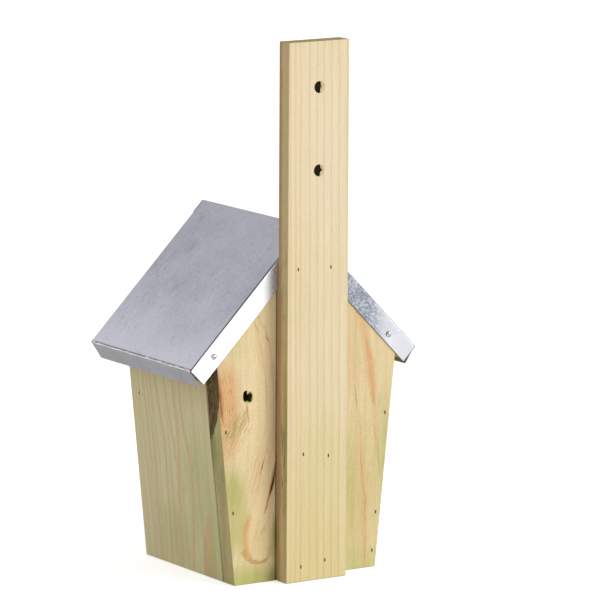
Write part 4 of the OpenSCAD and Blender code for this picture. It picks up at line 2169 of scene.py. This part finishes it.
    def folded(self) -> Shape:
        """Makes the outer face of the sheet, with its folds.

        Returns:
            The open shape, which faces outwards.
        """
        shape = bmesh.new()
        rows = self.rows()
        middle = (self.front_mm + self.back_mm) / 2
        grid = []
        for y, under in rows:
            end = 0 if under < self.fold_mm * 0.5 else (1 if y > middle else -1)
            line = []
            for x, z in self.section(under):
                point = Vector((x, y, z))
                line.append(shape.verts.new((point + self.spring(point, under, end)) * MM))
            grid.append(line)
        join_rows(shape, grid)
        on_slope = [(y, line) for (y, under), line in zip(rows, grid) if under == 0.0]
        for side, edge in ((1, 0), (-1, -1)):
            edges = [(y, line[edge]) for y, line in on_slope]
            join_rows(shape, self.eave_strips(shape, side, edges))
        bmesh.ops.remove_doubles(shape, verts=shape.verts, dist=self.weld_mm * MM)
        bmesh.ops.recalc_face_normals(shape, faces=shape.faces)
        top = max(shape.faces, key=lambda face: face.calc_center_median().z)
        if top.normal.z < 0:
            bmesh.ops.reverse_faces(shape, faces=shape.faces)
        return shape

    def build(self) -> None:
        """Makes the folded sheet and the lap at each end of its ridge."""
        self.sheet = made_piece("folded_roof_sheet", self.folded(), GalvanisedFinish())
        solid = self.sheet.modifiers.new("thick", "SOLIDIFY")
        solid.thickness = self.thick_mm * MM
        solid.offset = -1.0
        solid.use_even_offset = True
        evaluated(self.sheet)
        self.lap = made_piece("ridge_laps", self.laps(), GalvanisedFinish())

    def laps(self) -> Shape:
        """Makes the two small laps of one gable fold over the other at the ridge.

        Returns:
            The shape.
        """
        shape = bmesh.new()
        cos = math.cos(self.pitch)
        for end, face in ((1, self.back_mm), (-1, self.front_mm)):
            rings = []
            for out in (0.0, self.thick_mm - 0.15, self.thick_mm):
                draw = 0.25 if out == self.thick_mm else 0.0
                low = self.ridge_mm - self.flange_mm / cos + draw
                wide = self.lap_mm - draw
                high = self.ridge_mm - (0.35 + draw) / cos
                fall = wide * math.tan(self.pitch)
                foot = [(0.0, low), (wide * 0.5, low - fall * 0.5), (wide, low - fall)]
                head = [(wide, high - fall), (wide * 0.5, high - fall * 0.5), (0.0, high)]
                rings.append([Vector((x, face + end * out, z)) for x, z in foot + head])
            tube(rings, shape)
        return closed(shape)

    def dress(self) -> None:
        """Fixes the sheet and its laps to the frame."""
        settle(self.sheet, "galvanised_sheet", "roof_sheet")
        settle(self.lap, "galvanised_sheet")


@dataclass
class RoofNails:
    """Domed nails that hold the gable folds to the roof boards."""

    head_d_mm: float = 4.2
    head_h_mm: float = 1.2
    shank_d_mm: float = 2.0
    length_mm: float = 20.0
    lean_deg: float = 7.0
    least_lean_deg: float = 1.5
    sunk_mm: float = 0.03
    made: dict[str, Piece] = field(default_factory=dict)

    def profile(self) -> list[Pair]:
        """Sets out the outline of a nail with a ringed shank.

        Returns:
            Radius and height of each point, from the nail's point to the top of its head.
        """
        shank, head, rise = self.shank_d_mm / 2, self.head_d_mm / 2, self.head_h_mm
        rings = [(0.05, -self.length_mm), (shank, -self.length_mm + 2.5)]
        for i in range(6):
            height = -self.length_mm + 6.0 + 1.6 * i
            rings += [(shank, height), (shank - 0.12, height + 0.5), (shank, height + 1.0)]
        rings += [(shank, -0.05), (head - 0.1, 0.0), (head, 0.12), (head, 0.3)]
        for i in range(1, 7):
            turn = math.pi / 2 * i / 6
            rings.append((max(head * math.cos(turn), 0.08), 0.3 + (rise - 0.3) * math.sin(turn)))
        return rings

    def build(self) -> None:
        """Makes each nail, a little dented, with the one at the back left driven askew."""
        for i, node in enumerate(n for n in sorted(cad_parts) if n.startswith("roof_nail")):
            low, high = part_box(node)
            end = 1 if "back" in node else -1
            shape = lathe(self.profile(), 28)
            for vert in shape.verts:
                dent = 0.10 * rough(vert.co / MM, 0.8, i + 1.0) if vert.co.z > 0.2 * MM else 0.0
                vert.co.z -= max(dent, 0.0) * MM
            middle = (low + high) / 2
            foot = high.y if end > 0 else low.y
            foot -= end * (self.head_h_mm + self.sunk_mm) * MM
            lean_deg = self.lean_deg if "back_left" in node else self.least_lean_deg
            askew = math.radians(lean_deg)
            outward = Vector((0.3 * math.sin(askew), end * math.cos(askew), -math.sin(askew)))
            placed(shape, Vector((middle.x, foot, middle.z)), outward)
            look = SteelFinish("C6C4C2", "6A5C50", 0.6, 0.2)
            self.made[node] = made_piece(f"{node}_domed", shape, look)

    def dress(self) -> None:
        """Fixes the nails to the frame."""
        for node, nail in self.made.items():
            settle(nail, "galvanised_nail", node)


@dataclass
class Brads:
    """Thin headed brads, set under the wood's surface."""

    length_mm: float = 25.0
    wide_mm: float = 1.2
    head_mm: float = 2.4
    head_t_mm: float = 0.6
    made: dict[str, Piece] = field(default_factory=dict)

    def brad(self, upright: bool) -> Shape:
        """One brad that points down Z, with a rounded head and a chisel point.

        Args:
            upright: whether the head's long side runs along Y and not along X.

        Returns:
            The shape, with its top at Z = 0.
        """
        half = self.wide_mm / 2
        head = self.head_mm / 2
        rings = (
            (-self.length_mm, 0.08, half), (-self.length_mm + 2.4, half, half),
            (-self.head_t_mm - 0.5, half, half), (-self.head_t_mm, half, half * 1.1),
            (-self.head_t_mm + 0.08, half * 0.96, head * 0.94), (-0.12, half, head),
            (0.0, half * 0.82, head * 0.9),
        )
        corners = ((-1, -1), (0, -1.02), (1, -1), (1.02, 0), (1, 1), (0, 1.02), (-1, 1), (-1.02, 0))
        made = []
        for height, thin, long in rings:
            x, y = (thin, long) if upright else (long, thin)
            made.append([Vector((a * x * 0.97, b * y * 0.97, height)) for a, b in corners])
        return closed(tube(made))

    def build(self) -> None:
        """Makes a brad for each brad node."""
        plain = SteelFinish("5E5848", "2E2C18", 0.8, 0.5)
        rusty = SteelFinish("E08A44", "B86028", 0.95, 0.7)
        for node in sorted(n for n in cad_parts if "brad" in n):
            look = rusty if "batten" in node else plain
            middle = middle_of(node)
            if node.startswith("front"):
                side = 1 if node.endswith("right") else -1
                outward = Vector((side * math.cos(LEAN), 0.0, -math.sin(LEAN)))
            else:
                outward = Vector((0.0, 1.0, 0.0))
            shape = placed(
                self.brad(not node.startswith("front")),
                middle + outward * (self.length_mm / 2 * MM),
                outward,
            )
            self.made[node] = made_piece(f"{node}_set", shape, look)

    def dress(self) -> None:
        """Fixes the brads to the frame."""
        for node, brad in self.made.items():
            settle(brad, "brad_steel", node)


# ---------------------------------------------------------------- studio


@dataclass(frozen=True)
class FloorFinish(Finish):
    """A pale floor that shows white where no shadow falls, and nothing from below."""

    tone: float = 0.8
    glow: float = 0.56

    def fill(self, bench: Bench) -> None:
        """Puts the floor's nodes on a bench.

        Args:
            bench: the empty bench.
        """
        matt = bench.node("BsdfDiffuse", None, {"Color": grey(self.tone)})
        shine = bench.seen() * self.glow
        glow = bench.node("Emission", None, {"Color": grey(1.0), "Strength": shine})
        lit = bench.node("AddShader", None, {0: matt, 1: glow})
        clear = bench.node("BsdfTransparent")
        under = bench.node("NewGeometry", None, None, "Backfacing")
        both = bench.node("MixShader", None, {0: under, 1: lit, 2: clear})
        bench.end(both)


@dataclass
class Studio:
    """The floor, the soft lights, the white surroundings and the camera."""

    azimuth_deg: float = 33.2
    elevation_deg: float = 9.869
    roll_deg: float = 0.323
    lens_mm: float = 296.0
    distance_mm: float = 3431.96
    aim_mm: Triple = (3.867, 60.5, 197.591)
    floor_m: float = 30.0
    floor_gap_m: float = 0.0002
    key_from: Triple = (-0.6, 0.8, 0.3)
    key_spread_deg: float = 45.0
    key_strength: float = 0.5
    bright_from: Triple = (-0.45, 0.82, 0.2)
    rear_low: Colour = (0.54, 0.54, 0.55, 1.0)
    rear_high: Colour = (0.65, 0.65, 0.685, 1.0)
    front_wall: float = 0.68

    def floor(self) -> None:
        """Makes the floor under the box."""
        shape = bmesh.new()
        bmesh.ops.create_grid(shape, x_segments=1, y_segments=1, size=self.floor_m / 2)
        ground = made_piece("floor", shape, FloorFinish())
        ground.location.z = cad_box[0].z - self.floor_gap_m

    def lamp(self, name: str, direction: Vector, spread_deg: float, strength: float) -> None:
        """Hangs one broad soft lamp so far off that it lights the whole floor evenly.

        Args:
            name: the lamp's name.
            direction: where it hangs, from the box.
            spread_deg: how broad it looks from the box.
            strength: light that falls on a surface which faces it, as a share of full.
        """
        data = bpy.data.lights.new(name, "SUN")
        data.angle = math.radians(spread_deg)
        data.energy = strength * math.pi
        made = bpy.data.objects.new(name, data)
        bpy.context.scene.collection.objects.link(made)
        made.rotation_mode = "QUATERNION"
        made.rotation_quaternion = direction.to_track_quat("Z", "Y")

    def lights(self) -> None:
        """Hangs the key light behind the box to its left."""
        self.lamp("key", Vector(self.key_from), self.key_spread_deg, self.key_strength)

    def surroundings(self) -> None:
        """Makes the studio's walls, which light the box evenly and look white."""
        world = bpy.data.worlds.new("studio")
        world.use_nodes = True
        bench = Bench(world.node_tree)
        way = bench.node("TexCoord", output="Generated")
        front = bench.dot(way, Vector(self.bright_from).normalized())
        high = bench.dot(way, Vector((0.0, 0.0, 1.0))).rise(0.0, 0.5)
        rear = bench.blend(high, self.rear_low, self.rear_high)
        wall = bench.blend(front.rise(-0.9, 0.7), rear, grey(self.front_wall))
        colour = bench.blend(bench.seen(), wall, grey(1.0))
        sky = bench.node("Background", None, {"Color": colour, "Strength": 1.0})
        end = world.node_tree.nodes.new("ShaderNodeOutputWorld")
        world.node_tree.links.new(sky.socket, end.inputs["Surface"])
        bpy.context.scene.world = world

    def camera(self) -> None:
        """Places the camera by its bearing, height and distance from a point on the box."""
        turn, rise = math.radians(self.azimuth_deg), math.radians(self.elevation_deg)
        roll = math.radians(self.roll_deg)
        back = Vector(
            (math.sin(turn) * math.cos(rise), math.cos(turn) * math.cos(rise), math.sin(rise))
        )
        right = (-back).cross(Vector((0.0, 0.0, 1.0))).normalized()
        up = right.cross(-back)
        axis_x = right * math.cos(roll) + up * math.sin(roll)
        axis_y = up * math.cos(roll) - right * math.sin(roll)
        data = bpy.data.cameras.new("camera")
        data.lens = self.lens_mm
        data.clip_start, data.clip_end = 0.1, 100.0
        made = bpy.data.objects.new("camera", data)
        bpy.context.scene.collection.objects.link(made)
        place = (Vector(self.aim_mm) + back * self.distance_mm) * MM
        made.matrix_world = Matrix.Translation(place) @ Matrix(
            (axis_x, axis_y, back)
        ).transposed().to_4x4()
        bpy.context.scene.camera = made

    def build(self) -> None:
        """Sets the studio up."""
        self.floor()
        self.lights()
        self.surroundings()
        self.camera()
        bpy.context.scene.view_settings.view_transform = "Standard"


def main() -> None:
    """Builds and dresses every sub-assembly, then the studio round them."""
    logging.basicConfig(level=logging.INFO, format="%(name)s %(message)s")
    parts = (Batten(), BackPanel(), FrontPanel(), Boards(), RoofSheet(), RoofNails(), Brads())
    for part in parts:
        part.build()
        part.dress()
        log.info("finished %s", type(part).__name__)
    Studio().build()


if __name__ == "__main__":
    main()
